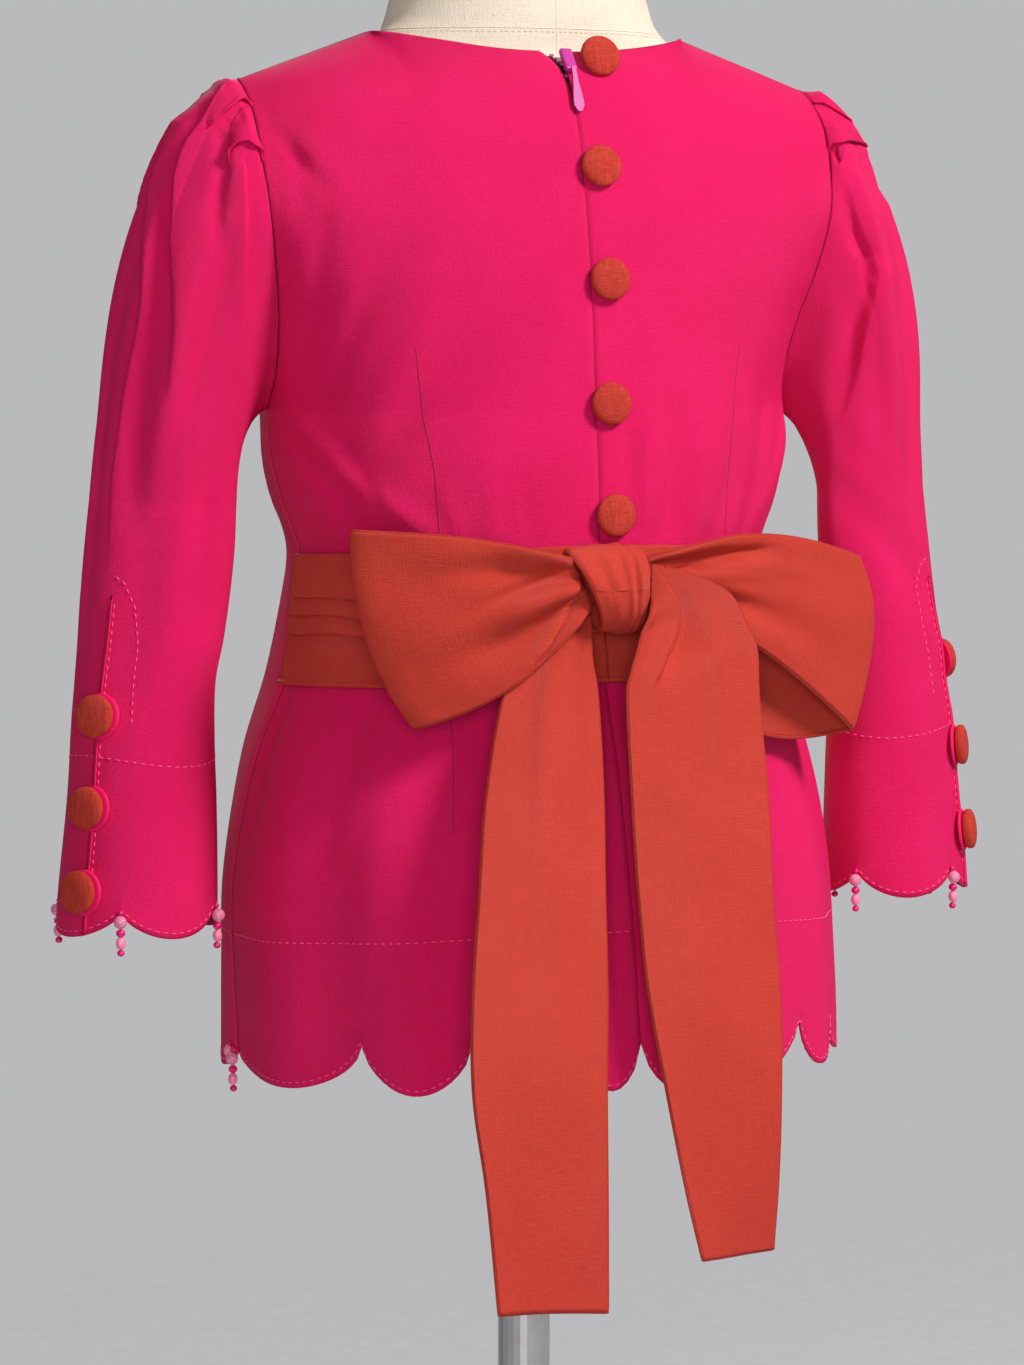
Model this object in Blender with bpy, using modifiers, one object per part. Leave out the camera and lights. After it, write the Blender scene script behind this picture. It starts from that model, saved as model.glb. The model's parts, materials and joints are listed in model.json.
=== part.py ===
"""A girl's bow blouse standing on a limbless dress form.

The blouse is cut from pink cloth: a front, two backs that meet in a zip seam, and two pleated
sleeves with a buttoned vent. A rust satin sash is sewn into the side seams and ties in a bow.

Frame: +Z up, the wearer's front faces -Y, the wearer's left is +X, and the origin is the middle
of the base's underside. Tables hold millimetres. Their heights are counted from the bust line.
"""

import math
from collections import namedtuple

import bmesh
import bpy
from mathutils import Matrix, Vector

# Driving dimensions, in millimetres
MM = 0.001
BUST_LINE = 660.0
CLOTH = 1.3
SATIN = 1.2
SEAM_GAP = 0.3
SEAM_HALF = 0.25
SHOULDER_HALF = 0.75
SEAT_GAP = 0.35
ARMPIT_HEIGHT = -43.0
HEM_ROUND = -320.0
NECK_TURN = 41.0
NECK_SHOULDER = Vector((79.0, 0.0, 133.0))
SHOULDER_TIP = Vector((144.0, 3.0, 109.0))
CENTRE_BACK = Vector((0.0, 44.0, 123.0))
CENTRE_FRONT = Vector((0.0, -60.0, 95.0))
SOFT_BACK = Vector((75.0, 32.0, 136.0))
SOFT_FRONT = Vector((72.0, -42.0, 122.0))
ZIP_OPEN = 11.0
LEFT, RIGHT = 1, -1

# The torso below the armpits: one row for each level, half ellipses at the back and at the front,
# with the turn of the side seam off the centre back
Torso = namedtuple("Torso", "height half_width back front seam_turn")
TORSO = (
    Torso(-43, 128.5, 87.4, 95, 90),
    Torso(-62, 127.2, 89.8, 93, 89.5),
    Torso(-85, 122.5, 91.3, 90, 88),
    Torso(-108, 115.5, 92.2, 88, 86.5),
    Torso(-130, 117.5, 94.5, 89, 85),
    Torso(-165, 125.0, 99.5, 94, 82.5),
    Torso(-205, 137.5, 114, 105, 86.5),
    Torso(-258, 146.0, 128, 113, 89.5),
    Torso(-304, 147.2, 136.5, 115, 88.5),
    Torso(-356, 147.0, 143.5, 114, 86),
)

# The chest above the armpits: each row is an arc from the centre line to the armhole edge
Yoke = namedtuple("Yoke", "along centre_height centre_depth edge_height edge_across edge_depth")
BACK_YOKE = (
    Yoke(0.0, 75, 70.0, 80, 144.0, 34),
    Yoke(0.25, 45, 77.0, 51, 141.5, 42),
    Yoke(0.5, 20, 81.0, 22, 136.5, 36),
    Yoke(0.7, -3, 83.8, -2, 131.5, 25),
    Yoke(0.88, -26, 85.8, -27, 129.0, 13),
    Yoke(1.0, -43, 87.4, -43, 128.5, 0),
)
FRONT_YOKE = (
    Yoke(0.0, 60, -78.0, 80, 142.0, -26),
    Yoke(0.25, 38, -85.0, 51, 136.0, -36),
    Yoke(0.5, 14, -90.0, 22, 129.5, -38),
    Yoke(0.7, -8, -93.0, -2, 127.0, -31),
    Yoke(0.88, -28, -94.5, -27, 127.2, -18),
    Yoke(1.0, -43, -95.0, -43, 128.5, 0),
)

# How round the cloth turns over the shoulder, from the centre line out to the armhole
Round = namedtuple("Round", "share amount")
OVER_ROUND = (Round(0.0, 0.4), Round(0.46, 0.5), Round(0.8, 0.55), Round(1.0, 0.5))

# Soft folds of the body: a line from top to bottom, its half width and its height off the cloth
Fold = namedtuple("Fold", "top_turn top_height low_turn low_height half_width rise")
BODY_FOLDS = (
    Fold(80, -50, 62, -104, 16, 2.5),
    Fold(-76, -50, -62, -104, 16, 2.5),
    Fold(70, -180, 74, -352, 20, 4.0),
    Fold(42, -180, 44, -352, 17, 3.0),
    Fold(-50, -180, -54, -352, 17, 3.0),
    Fold(-76, -180, -76, -352, 17, 4.0),
    Fold(104, -180, 106, -352, 18, 0.6),
    Fold(153, -180, 153, -352, 19, 3.5),
    Fold(-104, -180, -106, -352, 18, 0.6),
    Fold(-153, -180, -153, -352, 19, 3.0),
)

# Where the hem's scallops meet, in degrees from the centre back, positive to the wearer's left
HEM_LEFT = (0, 12, 31, 53, 90)
HEM_RIGHT = (0, -13, -41, -60, -90)
HEM_FRONT = (90, 117, 139, 167, 193, 221, 243, 270)
SCALLOP_POINT = 0.6

# The sleeve: pulls that the cloth leaves the armhole with, and its upright ellipses below
Head = namedtuple("Head", "around across back up hang")
SLEEVE_HEAD = (
    Head(0, 160, 0, -55, 215),
    Head(45, 110, 26, -30, 180),
    Head(90, 60, 20, -6, 115),
    Head(135, 42, 12, -12, 62),
    Head(180, 44, 5, -16, 34),
    Head(225, 42, -8, -12, 62),
    Head(270, 60, -18, -6, 115),
    Head(315, 105, -20, -34, 180),
    Head(360, 160, 0, -55, 215),
)
Arm = namedtuple("Arm", "height across back wide deep")
ARM = (
    Arm(-84, 180.9, 6, 33.9, 18),
    Arm(-110, 182.6, 6, 34.2, 20),
    Arm(-147, 186.7, 6, 33.0, 23),
    Arm(-167, 189.7, 6, 32.0, 25),
    Arm(-195, 191.2, 6, 33.0, 28),
    Arm(-220, 191.8, 6, 34.2, 30),
    Arm(-265, 194.0, 6, 36.7, 33),
    Arm(-290, 195.0, 6, 37.0, 34),
)
ARM_TURN = 22.0
ARM_TOP = -84.0
CUFF_ROUND = -256.0
CUFF_JOIN = -269.0
CUFF_LOW = -282.0
SLEEVE_COLUMNS = 26
CUFF_MEETS = (-1, 6, 12, 19, 25, 32)
VENT_COLUMN = 4
VENT_TOP = -128.0
VENT_HALF_GAP = 0.9

# Knife pleats of the sleeve head: where the folded edge leaves the armhole and where it dies out
Pleat = namedtuple("Pleat", "start finish half_width rise")
PLEATS = (Pleat(22, 62, 26, 7.0), Pleat(72, 96, 24, 7.5))

# Sash: levels of its pleats from top to bottom, and how far each stands off the blouse
Step = namedtuple("Step", "share off")
SASH_STEPS = (
    Step(0.0, 2.6),
    Step(0.28, 4.0),
    Step(0.33, 2.5),
    Step(0.43, 3.8),
    Step(0.47, 2.5),
    Step(0.57, 3.6),
    Step(0.61, 2.5),
    Step(0.8, 3.5),
    Step(1.0, 2.7),
)
SASH_TOP = (-104.0, -110.0)
SASH_LOW = (-167.0, -171.0)

# Knot: a wrapped band, its slanting ends and its depth and height
KNOT_CENTRE = Vector((4.0, 112.2, -123.0))
KNOT_DEPTH = 14.5
KNOT_HEIGHT = 20.5
KNOT_LEFT = (26.0, 9.5)
KNOT_RIGHT = (-12.0, -10.0)

# Bow loops: top and bottom of the root at the knot, and the outer fold from top to bottom
Loop = namedtuple("Loop", "side front_root back_root top middle bottom depths front_rise back_sag")
LOOPS = {
    "bow_loop_left": Loop(
        LEFT,
        (Vector((24.7, 117.5, -109)), Vector((15.4, 118, -130))),
        (Vector((23.7, 105, -111)), Vector((14.4, 106, -132))),
        Vector((119, 90, -96)),
        Vector((113, 93, -144)),
        Vector((92, 96, -184)),
        (13.0, 8.0),
        (3.0, -9.0),
        (2.0, 8.0),
    ),
    "bow_loop_right": Loop(
        RIGHT,
        (Vector((-12.2, 112, -110)), Vector((-11.4, 112, -126))),
        (Vector((-12.1, 104.6, -112)), Vector((-11.0, 105.4, -134))),
        Vector((-134, 86, -113)),
        Vector((-139, 90, -148)),
        Vector((-127, 93, -193)),
        (13.0, 7.5),
        (11.0, 9.0),
        (2.0, -25.0),
    ),
}

# Tails: one row for each cross line, from the knot down, with the photograph side's left end first
Cross = namedtuple("Cross", "left_x left_y left_z right_x right_y right_z bulge")
TAIL_LEFT = (
    Cross(26, 110.5, -135, 12.9, 111, -135.4, 0),
    Cross(37, 109.5, -146, 13.5, 113, -147, 1),
    Cross(45, 109.5, -155, 14.2, 116, -156, 2),
    Cross(56, 113, -171, 13.8, 121, -172, 3),
    Cross(70, 128, -213, 16, 133, -215, 4),
    Cross(79, 142, -256, 19.5, 143, -258, 3),
    Cross(85, 150, -298, 22.5, 152, -300, 2),
    Cross(87, 156, -340, 25, 158, -343, 0),
    Cross(82.5, 160, -383, 25.5, 160, -386, -2),
    Cross(77.5, 162, -437, 24.5, 158, -441, -3),
)
TAIL_RIGHT = (
    Cross(-13.4, 121, -124, -13.4, 119, -112, 0),
    Cross(-9, 129.2, -134, -32, 121, -117, -3),
    Cross(-5, 128.5, -142, -50, 124, -126, -5),
    Cross(-2, 130, -151, -59, 126, -143, -5),
    Cross(1.5, 131, -161, -62.5, 127, -153, -3),
    Cross(3.8, 132, -172, -63, 128, -174, -1),
    Cross(3.4, 137, -215, -64.5, 134, -218, 2),
    Cross(3.1, 144, -259, -63.5, 142, -262, 3),
    Cross(1.7, 152, -302, -63.3, 150, -306, 3),
    Cross(-4, 160, -346, -61.5, 155, -349, 2),
    Cross(-11, 166, -389, -61, 154, -391, 0),
    Cross(-17, 169, -419, -60, 151, -421, 0),
)

# Buttons, by height; the back ones also by their distance from the zip seam
BUTTON_RADIUS = 9.75
BUTTON_THICK = 5.4
BACK_BUTTONS = ((118.0, 20.4), (68.0, 8.2), (16.5, 8.6), (-40.0, 6.6), (-91.0, 7.0))
CUFF_BUTTONS = {LEFT: (-181.5, -223.0, -261.0), RIGHT: (-170.0, -210.5, -252.0)}
CUFF_BUTTON_AROUND = {LEFT: (56, 53, 52), RIGHT: (10, 54, 56)}
TAB_RADIUS = 10.6
TAB_THICK = 1.6
TAB_SHIFT = 1.0
TOP_BUTTON_UPRIGHT = 0.55
TOP_BUTTON_LIFT = 2.55
DOME_GAP = 0.15
CUFF_GAP = 0.25

# Dress form and stand
FORM_LOW = -300.0
NECK_MIDDLE = -7.0
NECKLINE_DRAW = 0.97
Neck = namedtuple("Neck", "height half_width half_depth")
NECK = (
    Neck(137, 68.5, 48.5),
    Neck(150, 64, 46),
    Neck(170, 62.5, 45),
    Neck(177, 61, 43.5),
    Neck(181, 56, 39),
)
Ease = namedtuple("Ease", "height off")
FORM_EASE = (Ease(-300, 13), Ease(-205, 9), Ease(-108, 4.5), Ease(-43, 3.4), Ease(60, 3.0), Ease(140, 3.2))
BASE_RADIUS = 150.0
BASE_THICK = 14.0
POLE_RADIUS = 12.5

OVER_LEVELS = (0.0, 0.12, 0.28, 0.48, 0.72)
YOKE_STEPS = 8
TORSO_HEIGHTS = (-62, -82, -104, -126, -150, -176, -204, -234, -266, -296, -320)


def mix(a, b, share):
    return a + (b - a) * share


def read(table, at):
    """The row of a table at a value of its first column, on a smooth curve through the rows."""
    rows = table if table[0][0] < table[-1][0] else table[::-1]
    at = min(max(at, rows[0][0]), rows[-1][0])
    i = next(n for n in range(1, len(rows)) if at <= rows[n][0])
    low, high = rows[i - 1], rows[i]
    before, after = rows[max(i - 2, 0)], rows[min(i + 1, len(rows) - 1)]
    span = high[0] - low[0]
    t = (at - low[0]) / span
    values = []
    for a, b, c, d in zip(before, low, high, after):
        leave = (c - a) / (high[0] - before[0]) * span
        reach = (d - b) / (after[0] - low[0]) * span
        values.append(
            b * (2 * t**3 - 3 * t**2 + 1)
            + leave * (t**3 - 2 * t**2 + t)
            + c * (3 * t**2 - 2 * t**3)
            + reach * (t**3 - t**2)
        )
    return type(low)(*values)


def straight(table, at):
    """The row of a table at a value of its first column, on straight lines between the rows."""
    for low, high in zip(table, table[1:]):
        if at <= high[0]:
            share = (at - low[0]) / (high[0] - low[0])
            return type(low)(*(mix(a, b, share) for a, b in zip(low, high)))
    return table[-1]


def scallop(at, meets):
    """0 where two scallops meet and 1 at the lowest point of each."""
    for start, end in zip(meets, meets[1:]):
        if start <= at <= end:
            return max(0.0, math.sin(math.pi * (at - start) / (end - start))) ** SCALLOP_POINT
    return 0.0


# The body of the blouse


def top_edge(centre, share):
    """Neckline from the centre line to the neck point, then the shoulder seam."""
    neck_share = NECK_TURN / 90
    if share > neck_share:
        return NECK_SHOULDER.lerp(SHOULDER_TIP, (share - neck_share) / (1 - neck_share))
    turn = math.radians(90 * share / neck_share)
    return Vector(
        (
            NECK_SHOULDER.x * math.sin(turn),
            centre.y * math.cos(turn),
            mix(centre.z, NECK_SHOULDER.z, math.sin(turn) ** 2 if centre.y > 0 else 1 - math.cos(turn)),
        )
    )


def soft_edge(centre, share):
    """A smooth line near the neckline and shoulder, which the rows below the edge run along."""
    control = SOFT_BACK if centre.y > 0 else SOFT_FRONT
    return centre.lerp(control, share).lerp(control.lerp(SHOULDER_TIP, share), share)


def yoke_point(table, along, share):
    row = read(table, along)
    full = math.acos(max(0.0, row.edge_depth / row.centre_depth))
    return Vector(
        (
            row.edge_across * math.sin(full * share) / math.sin(full),
            row.centre_depth * math.cos(full * share),
            mix(row.centre_height, row.edge_height, share),
        )
    )


def hem_height(turn):
    """Height of the scalloped edge, for a turn from -180 to 180 degrees off the centre back."""
    meets = HEM_FRONT
    if abs(turn) <= 90:
        meets = HEM_LEFT if turn >= 0 else HEM_RIGHT
        if turn < 0:
            turn, meets = -turn, tuple(-angle for angle in meets)
        if turn <= meets[1]:
            meets = (-meets[1],) + meets[1:]
    elif turn < 0:
        turn += 360
    side = abs(math.sin(math.radians(turn)))
    join = -325 - 15 * side**8
    low = -346 - 5 * side**2
    return mix(join, low, scallop(turn, meets))


def fold_rise(turn, height):
    total = 0.0
    for fold in BODY_FOLDS:
        if not fold.low_height <= height <= fold.top_height:
            continue
        share = (fold.top_height - height) / (fold.top_height - fold.low_height)
        middle = mix(fold.top_turn, fold.low_turn, share)
        away = math.radians(turn - middle) * 130 / fold.half_width
        swell = math.sin(math.pi * (min(share, 0.5) if fold.low_height < -300 else share))
        total += fold.rise * swell * math.exp(-(away**2))
    return total


def body_point(turn, level, front=False):
    """A point of the blouse's outer face.

    turn is in degrees from the centre back; level is 0 at the neckline and shoulder seam,
    1 to 2 along the armhole, and 2 to 3 from the armpit to the hem.
    """
    side = LEFT if turn >= 0 else RIGHT
    share = (180 - abs(turn)) / 90 if front else abs(turn) / 90
    centre, table = (CENTRE_FRONT, FRONT_YOKE) if front else (CENTRE_BACK, BACK_YOKE)
    if level < 1:
        top, low = top_edge(centre, share), yoke_point(table, 0, share)
        roundness = straight(OVER_ROUND, share).amount
        quarter = math.radians(90 * level)
        out = mix(level, math.sin(quarter), roundness)
        down = mix(level, 1 - math.cos(quarter), roundness)
        soft = soft_edge(centre, share)
        point = Vector((mix(soft.x, low.x, out), mix(soft.y, low.y, out), mix(soft.z, low.z, down)))
        point += (top - soft) * (1 - level) ** 3
        if side == LEFT and not front:
            point.x += ZIP_OPEN * (1 - level) ** 4 * max(0.0, 1 - share * 5)
    elif level < 2:
        point = yoke_point(table, level - 1, share)
    else:
        down = (level - 2) / 0.94
        height = mix(ARMPIT_HEIGHT, HEM_ROUND, min(down, 1))
        if down > 1:
            height = mix(HEM_ROUND, hem_height(turn), (level - 2.94) / 0.06)
        row = read(TORSO, height)
        seam = row.seam_turn
        angle = math.radians(180 - (180 - seam) * share if front else seam * share)
        depth = row.back if math.cos(angle) > 0 else row.front
        rise = fold_rise(turn, height)
        point = Vector(
            (
                (row.half_width + rise) * math.sin(angle),
                (depth + rise) * math.cos(angle),
                height,
            )
        )
    return Vector((side * point.x, point.y, point.z))


def torso_level(height):
    return 2 + 0.94 * (ARMPIT_HEIGHT - height) / (ARMPIT_HEIGHT - HEM_ROUND)


def facing(point_at, across, along, step_across=1.0, step_along=0.02):
    """Point, outward normal and downward direction of a surface given as point_at(across, along)."""
    point = point_at(across, along)
    beside = point_at(across + step_across, along) - point_at(across - step_across, along)
    below = point_at(across, along + step_along) - point_at(across, along - step_along)
    normal = beside.cross(below).normalized()
    if normal.dot(Vector((point.x, point.y, 0))) < 0:
        normal.negate()
    return point, normal, below.normalized()


def body_levels():
    yoke = [1 + step / YOKE_STEPS for step in range(YOKE_STEPS)]
    return [*OVER_LEVELS, *yoke, 2.0, *(torso_level(h) for h in TORSO_HEIGHTS), 3.0]


def columns(stops, widest=8.5, fewest=3):
    """Turns that include every stop, with enough steps between them to show a scallop."""
    turns = [stops[0]]
    for start, end in zip(stops, stops[1:]):
        steps = max(fewest, math.ceil(abs(end - start) / widest))
        turns += [mix(start, end, n / steps) for n in range(1, steps + 1)]
    return turns


# Making objects


def material(name, colour, roughness, metallic=0.0):
    made = bpy.data.materials.new(name)
    made.use_nodes = True
    shader = made.node_tree.nodes["Principled BSDF"]
    shader.inputs["Base Color"].default_value = (*colour, 1)
    shader.inputs["Roughness"].default_value = roughness
    shader.inputs["Metallic"].default_value = metallic
    return made


def place(point):
    """From a table's millimetres to metres above the floor."""
    return Vector((point.x, point.y, point.z + BUST_LINE)) * MM


def add_object(name, mesh, finish, smooth=True):
    made = bpy.data.objects.new(name, mesh)
    mesh.materials.append(finish)
    if smooth:
        mesh.shade_smooth()
    parts.objects.link(made)
    return made


def pull_in(rows, gap, last=True, top=0.0):
    """Draws the borders of a grid back from their seams."""
    for row in rows:
        row[0] = row[0] + (row[1] - row[0]).normalized() * gap
        if last:
            row[-1] = row[-1] + (row[-2] - row[-1]).normalized() * gap
    if top:
        rows[0] = [a + (b - a).normalized() * top for a, b in zip(rows[0], rows[1])]
    return rows


def grid_mesh(name, rows, joined=0):
    """A sheet through rows of points. The first and last points of the first rows can be shared."""
    mesh = bmesh.new()
    grid = []
    for number, row in enumerate(rows):
        line = [mesh.verts.new(place(point)) for point in row]
        if number < joined:
            mesh.verts.remove(line[-1])
            line[-1] = line[0]
        grid.append(line)
    for upper, lower in zip(grid, grid[1:]):
        for n in range(len(upper) - 1):
            mesh.faces.new((upper[n], lower[n], lower[n + 1], upper[n + 1]))
    data = bpy.data.meshes.new(name)
    mesh.to_mesh(data)
    mesh.free()
    return data


def cloth(name, rows, finish, thick=CLOTH, joined=0, flip=False):
    """A wall of cloth whose outer face is the grid. Its normals face out for a rightward row."""
    data = grid_mesh(name, rows, joined)
    if flip:
        data.flip_normals()
    made = add_object(name, data, finish)
    wall = made.modifiers.new("wall", "SOLIDIFY")
    wall.thickness = thick * MM
    wall.offset = -1
    return made


def turned(name, profile, finish, steps):
    """A solid turned round its Z axis from a profile that runs down its outer side."""
    data = bpy.data.meshes.new(name)
    edges = [(n, n + 1) for n in range(len(profile) - 1)]
    data.from_pydata([(r * MM, 0, z * MM) for r, z in profile], edges, [])
    made = add_object(name, data, finish, smooth=False)
    screw = made.modifiers.new("turn", "SCREW")
    screw.steps = screw.render_steps = steps
    screw.use_merge_vertices = True
    screw.merge_threshold = 0.00001
    return made


def stand_on(made, point, normal, up, lift):
    """Sets an object on a surface, its own Z along the normal and its own Y along up."""
    normal = normal.normalized()
    across = up.cross(normal).normalized()
    turn = Matrix((across, normal.cross(across), normal)).transposed().to_4x4()
    made.matrix_world = Matrix.Translation(place(point + normal * lift)) @ turn
    return made


# Pieces of the blouse


def make_panels(pink):
    levels = body_levels()
    for name, stops in (
        ("back_left", (0, 12, 31, NECK_TURN, 53, 90)),
        ("back_right", (-90, -60, -NECK_TURN, -13, 0)),
    ):
        turns = columns(stops, fewest=2)
        nudge = 0 if name == "back_left" else -1e-9
        rows = [[body_point(turn + nudge, level) for turn in turns] for level in levels]
        cloth(name, pull_in(rows, SEAM_HALF, top=SHOULDER_HALF), pink, flip=True)
    turns = columns((90, 117, 180 - NECK_TURN, 167, 193, 180 + NECK_TURN, 243, 270), fewest=2)
    rows = [
        [body_point(turn if turn <= 180 else turn - 360, level, front=True) for turn in turns]
        for level in levels
    ]
    cloth("front", pull_in(rows, SEAM_HALF, top=SHOULDER_HALF), pink, flip=True)


def armhole_levels():
    return [*OVER_LEVELS, *(1 + step / YOKE_STEPS for step in range(YOKE_STEPS + 1))]


def armhole_point(around):
    """The armhole seam of the wearer's left side, from the shoulder round the back and the front."""
    levels = armhole_levels()
    half = around if around <= 180 else 360 - around
    place_in_list = half / 180 * (len(levels) - 1)
    n = min(int(place_in_list), len(levels) - 2)
    level = mix(levels[n], levels[n + 1], place_in_list - n)
    return body_point(90, level, front=around > 180)


def arm_point(around, height):
    row = read(ARM, height)
    turn, lean = math.radians(around), math.radians(ARM_TURN)
    wide, deep = row.wide * math.cos(turn), row.deep * math.sin(turn)
    return Vector(
        (
            row.across + wide * math.cos(lean) + deep * math.sin(lean),
            row.back - wide * math.sin(lean) + deep * math.cos(lean),
            height,
        )
    )


def pleat_rise(around, along):
    """Height of the knife pleats: a slow rise towards the folded edge, then a quick drop."""
    half = around if around <= 180 else 360 - around
    total = 0.0
    for pleat in PLEATS:
        edge = mix(pleat.start, pleat.finish, along**1.2)
        away = edge - half
        rise = math.exp(-((away / pleat.half_width) ** 2)) if away > 0 else max(0.0, 1 + away / 9)
        total += pleat.rise * rise * min(1, along / 0.05) * (1 - along) ** 0.8
    return total


def sleeve_point(around, along):
    """A point of the wearer's left sleeve: along is 0 to 1 for the head and 1 to 2 for the arm."""
    around_ring = around % 360
    if along > 1:
        down = (along - 1) / 0.85
        height = mix(ARM_TOP, CUFF_ROUND, min(down, 1))
        if down > 1:
            edge = mix(CUFF_JOIN, CUFF_LOW, scallop(around_ring / 360 * SLEEVE_COLUMNS, CUFF_MEETS))
            height = mix(CUFF_ROUND, edge, (along - 1.85) / 0.15)
        return arm_point(around_ring, height)
    start, end = armhole_point(around_ring), arm_point(around_ring, ARM_TOP)
    pull = read(SLEEVE_HEAD, around_ring)
    leave = Vector((pull.across, pull.back, pull.up))
    reach = Vector((0.045, 0, -1)) * pull.hang
    start += leave.normalized() * 1.4 * SEAM_GAP
    t = along
    point = (
        start * (2 * t**3 - 3 * t**2 + 1)
        + leave * (t**3 - 2 * t**2 + t)
        + end * (3 * t**2 - 2 * t**3)
        + reach * (t**3 - t**2)
    )
    middle = Vector((150 + 30 * t, 4, 20 - 60 * t))
    out = (point - middle).normalized()
    return point + out * pleat_rise(around_ring, t)


def sleeve_levels():
    head = (0, 0.05, 0.12, 0.22, 0.34, 0.48, 0.64, 0.82)
    heights = (-84, -106, VENT_TOP, -152, -178, -204, -230, CUFF_ROUND)
    return [*head, *(1 + 0.85 * (ARM_TOP - h) / (ARM_TOP - CUFF_ROUND) for h in heights), 2.0]


def make_sleeves(pink):
    turns = [360 * (VENT_COLUMN + n) / SLEEVE_COLUMNS for n in range(SLEEVE_COLUMNS + 1)]
    for side, name in ((LEFT, "sleeve_left"), (RIGHT, "sleeve_right")):
        rows = []
        for level in sleeve_levels():
            row = [sleeve_point(turn, level) for turn in turns]
            if row[0].z < VENT_TOP - 1:
                step = (row[1] - row[0]).normalized() * VENT_HALF_GAP
                row[0], row[-1] = row[0] + step, row[-1] - step
            rows.append([Vector((side * p.x, p.y, p.z)) for p in row])
        joined = sum(row[0] == row[-1] or (row[0] - row[-1]).length < 0.01 for row in rows)
        cloth(name, rows, pink, joined=joined, flip=side == RIGHT)


def sash_point(side, turn, share):
    """A point of the sash's outer face over the blouse."""
    top, low = mix(*SASH_TOP, turn / 90), mix(*SASH_LOW, turn / 90)
    height = mix(top, low, share)
    point, normal, _ = facing(lambda t, l: body_point(t, l), side * max(turn, 1.1), torso_level(height))
    if turn < 1.1:
        point = body_point(side * turn, torso_level(height))
    return point + normal * straight(SASH_STEPS, share).off


def make_sash(rust):
    for side, name in ((LEFT, "sash_left"), (RIGHT, "sash_right")):
        turns = [89.5 * n / 13 for n in range(14)]
        rows = [[sash_point(side, turn, step.share) for turn in turns] for step in SASH_STEPS]
        cloth(name, pull_in(rows, SEAM_HALF, last=False), rust, SATIN, flip=side == LEFT)


def loop_point(loop, around, share):
    """A point of a bow loop: around runs from -1 at the back root to 1 at the front root."""
    reach = math.cos(math.pi * around / 2)
    root = loop.front_root if around > 0 else loop.back_root
    start = root[0].lerp(root[1], share)
    top, middle, bottom = loop.top, loop.middle, loop.bottom
    end = top * ((1 - share) * (1 - 2 * share))
    end += middle * (4 * share * (1 - share))
    end += bottom * (share * (2 * share - 1))
    point = start.lerp(end, reach)
    lift = loop.front_rise if around > 0 else loop.back_sag
    point.z += mix(lift[0], lift[1], share) * math.sin(math.pi * reach)
    swell = loop.depths[around < 0] * reach**0.7 * math.sin(math.pi * abs(around) / 2)
    point.y += math.copysign(swell, around)
    if around > 0:
        gather = math.exp(-((reach / 0.5) ** 2)) * min(1, reach / 0.12)
        point.y += 4.0 * math.cos(4 * math.pi * share) * gather
    return point


def make_loops(rust):
    shares = [n / 8 for n in range(9)]
    for name, loop in LOOPS.items():
        rows = [[loop_point(loop, 1 - 2 * n / 20, share) for share in shares] for n in range(21)]
        cloth(name, rows, rust, SATIN, flip=loop.side == RIGHT)


def tail_rows(table, steps):
    """Cross lines of a tail, evenly between the rows of its table."""
    numbered = [namedtuple("At", "at " + " ".join(Cross._fields))(n, *row) for n, row in enumerate(table)]
    rows = []
    for n in range(steps + 1):
        row = read(numbered, n * (len(table) - 1) / steps)
        left = Vector((row.left_x, row.left_y, row.left_z))
        right = Vector((row.right_x, row.right_y, row.right_z))
        line = []
        for step in range(7):
            share = step / 6
            point = left.lerp(right, share)
            point.y += row.bulge * math.sin(math.pi * share)
            line.append(point)
        rows.append(line)
    return rows


def make_tails(rust):
    cloth("tail_left", tail_rows(TAIL_LEFT, 16), rust, SATIN)
    cloth("tail_right", tail_rows(TAIL_RIGHT, 18), rust, SATIN)


def knot_point(share, turn):
    """The wrapped knot: share runs from its left end to its right end."""
    angle = math.radians(turn)
    up = math.sin(angle)
    left = mix(KNOT_LEFT[1], KNOT_LEFT[0], (up + 1) / 2)
    right = mix(KNOT_RIGHT[1], KNOT_RIGHT[0], (up + 1) / 2)
    full = 1 - 0.1 * abs(2 * share - 1) ** 2
    return Vector(
        (
            mix(left, right, share),
            KNOT_CENTRE.y + KNOT_DEPTH * full * math.cos(angle),
            KNOT_CENTRE.z + KNOT_HEIGHT * full * up,
        )
    )


def make_knot(rust):
    mesh = bmesh.new()
    rings = []
    for share in (0, 0.2, 0.5, 0.8, 1):
        rings.append([mesh.verts.new(place(knot_point(share, 22.5 * n))) for n in range(16)])
    for near, far in zip(rings, rings[1:]):
        for n in range(16):
            mesh.faces.new((near[n], near[n - 1], far[n - 1], far[n]))
    mesh.faces.new(rings[0])
    mesh.faces.new(rings[-1][::-1])
    bmesh.ops.recalc_face_normals(mesh, faces=mesh.faces)
    data = bpy.data.meshes.new("bow_knot")
    mesh.to_mesh(data)
    mesh.free()
    add_object("bow_knot", data, rust)


def button_profile():
    """Flat back, rounded rim and a low dome, down the outer side."""
    r, h = BUTTON_RADIUS, BUTTON_THICK
    face = [(0, h), (0.5 * r, h - 0.35), (0.85 * r, h - 1.4)]
    return [*face, (r, 0.5 * h), (0.86 * r, 0.7), (0.6 * r, 0), (0, 0)]


def body_spot(height, across):
    """Point, normal and downward direction of the back at a height and a distance from the seam."""
    level = min(
        (n / 400 for n in range(1, 1200)),
        key=lambda at: abs(body_point(math.copysign(1, across), at).z - height),
    )
    turn = min((n / 4 for n in range(1, 200)), key=lambda at: abs(body_point(at, level).x - abs(across)))
    side = math.copysign(1, across)
    return facing(lambda t, l: body_point(t, l), side * max(turn, 1.2), max(level, 0.03), 1.0, 0.02)


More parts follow.
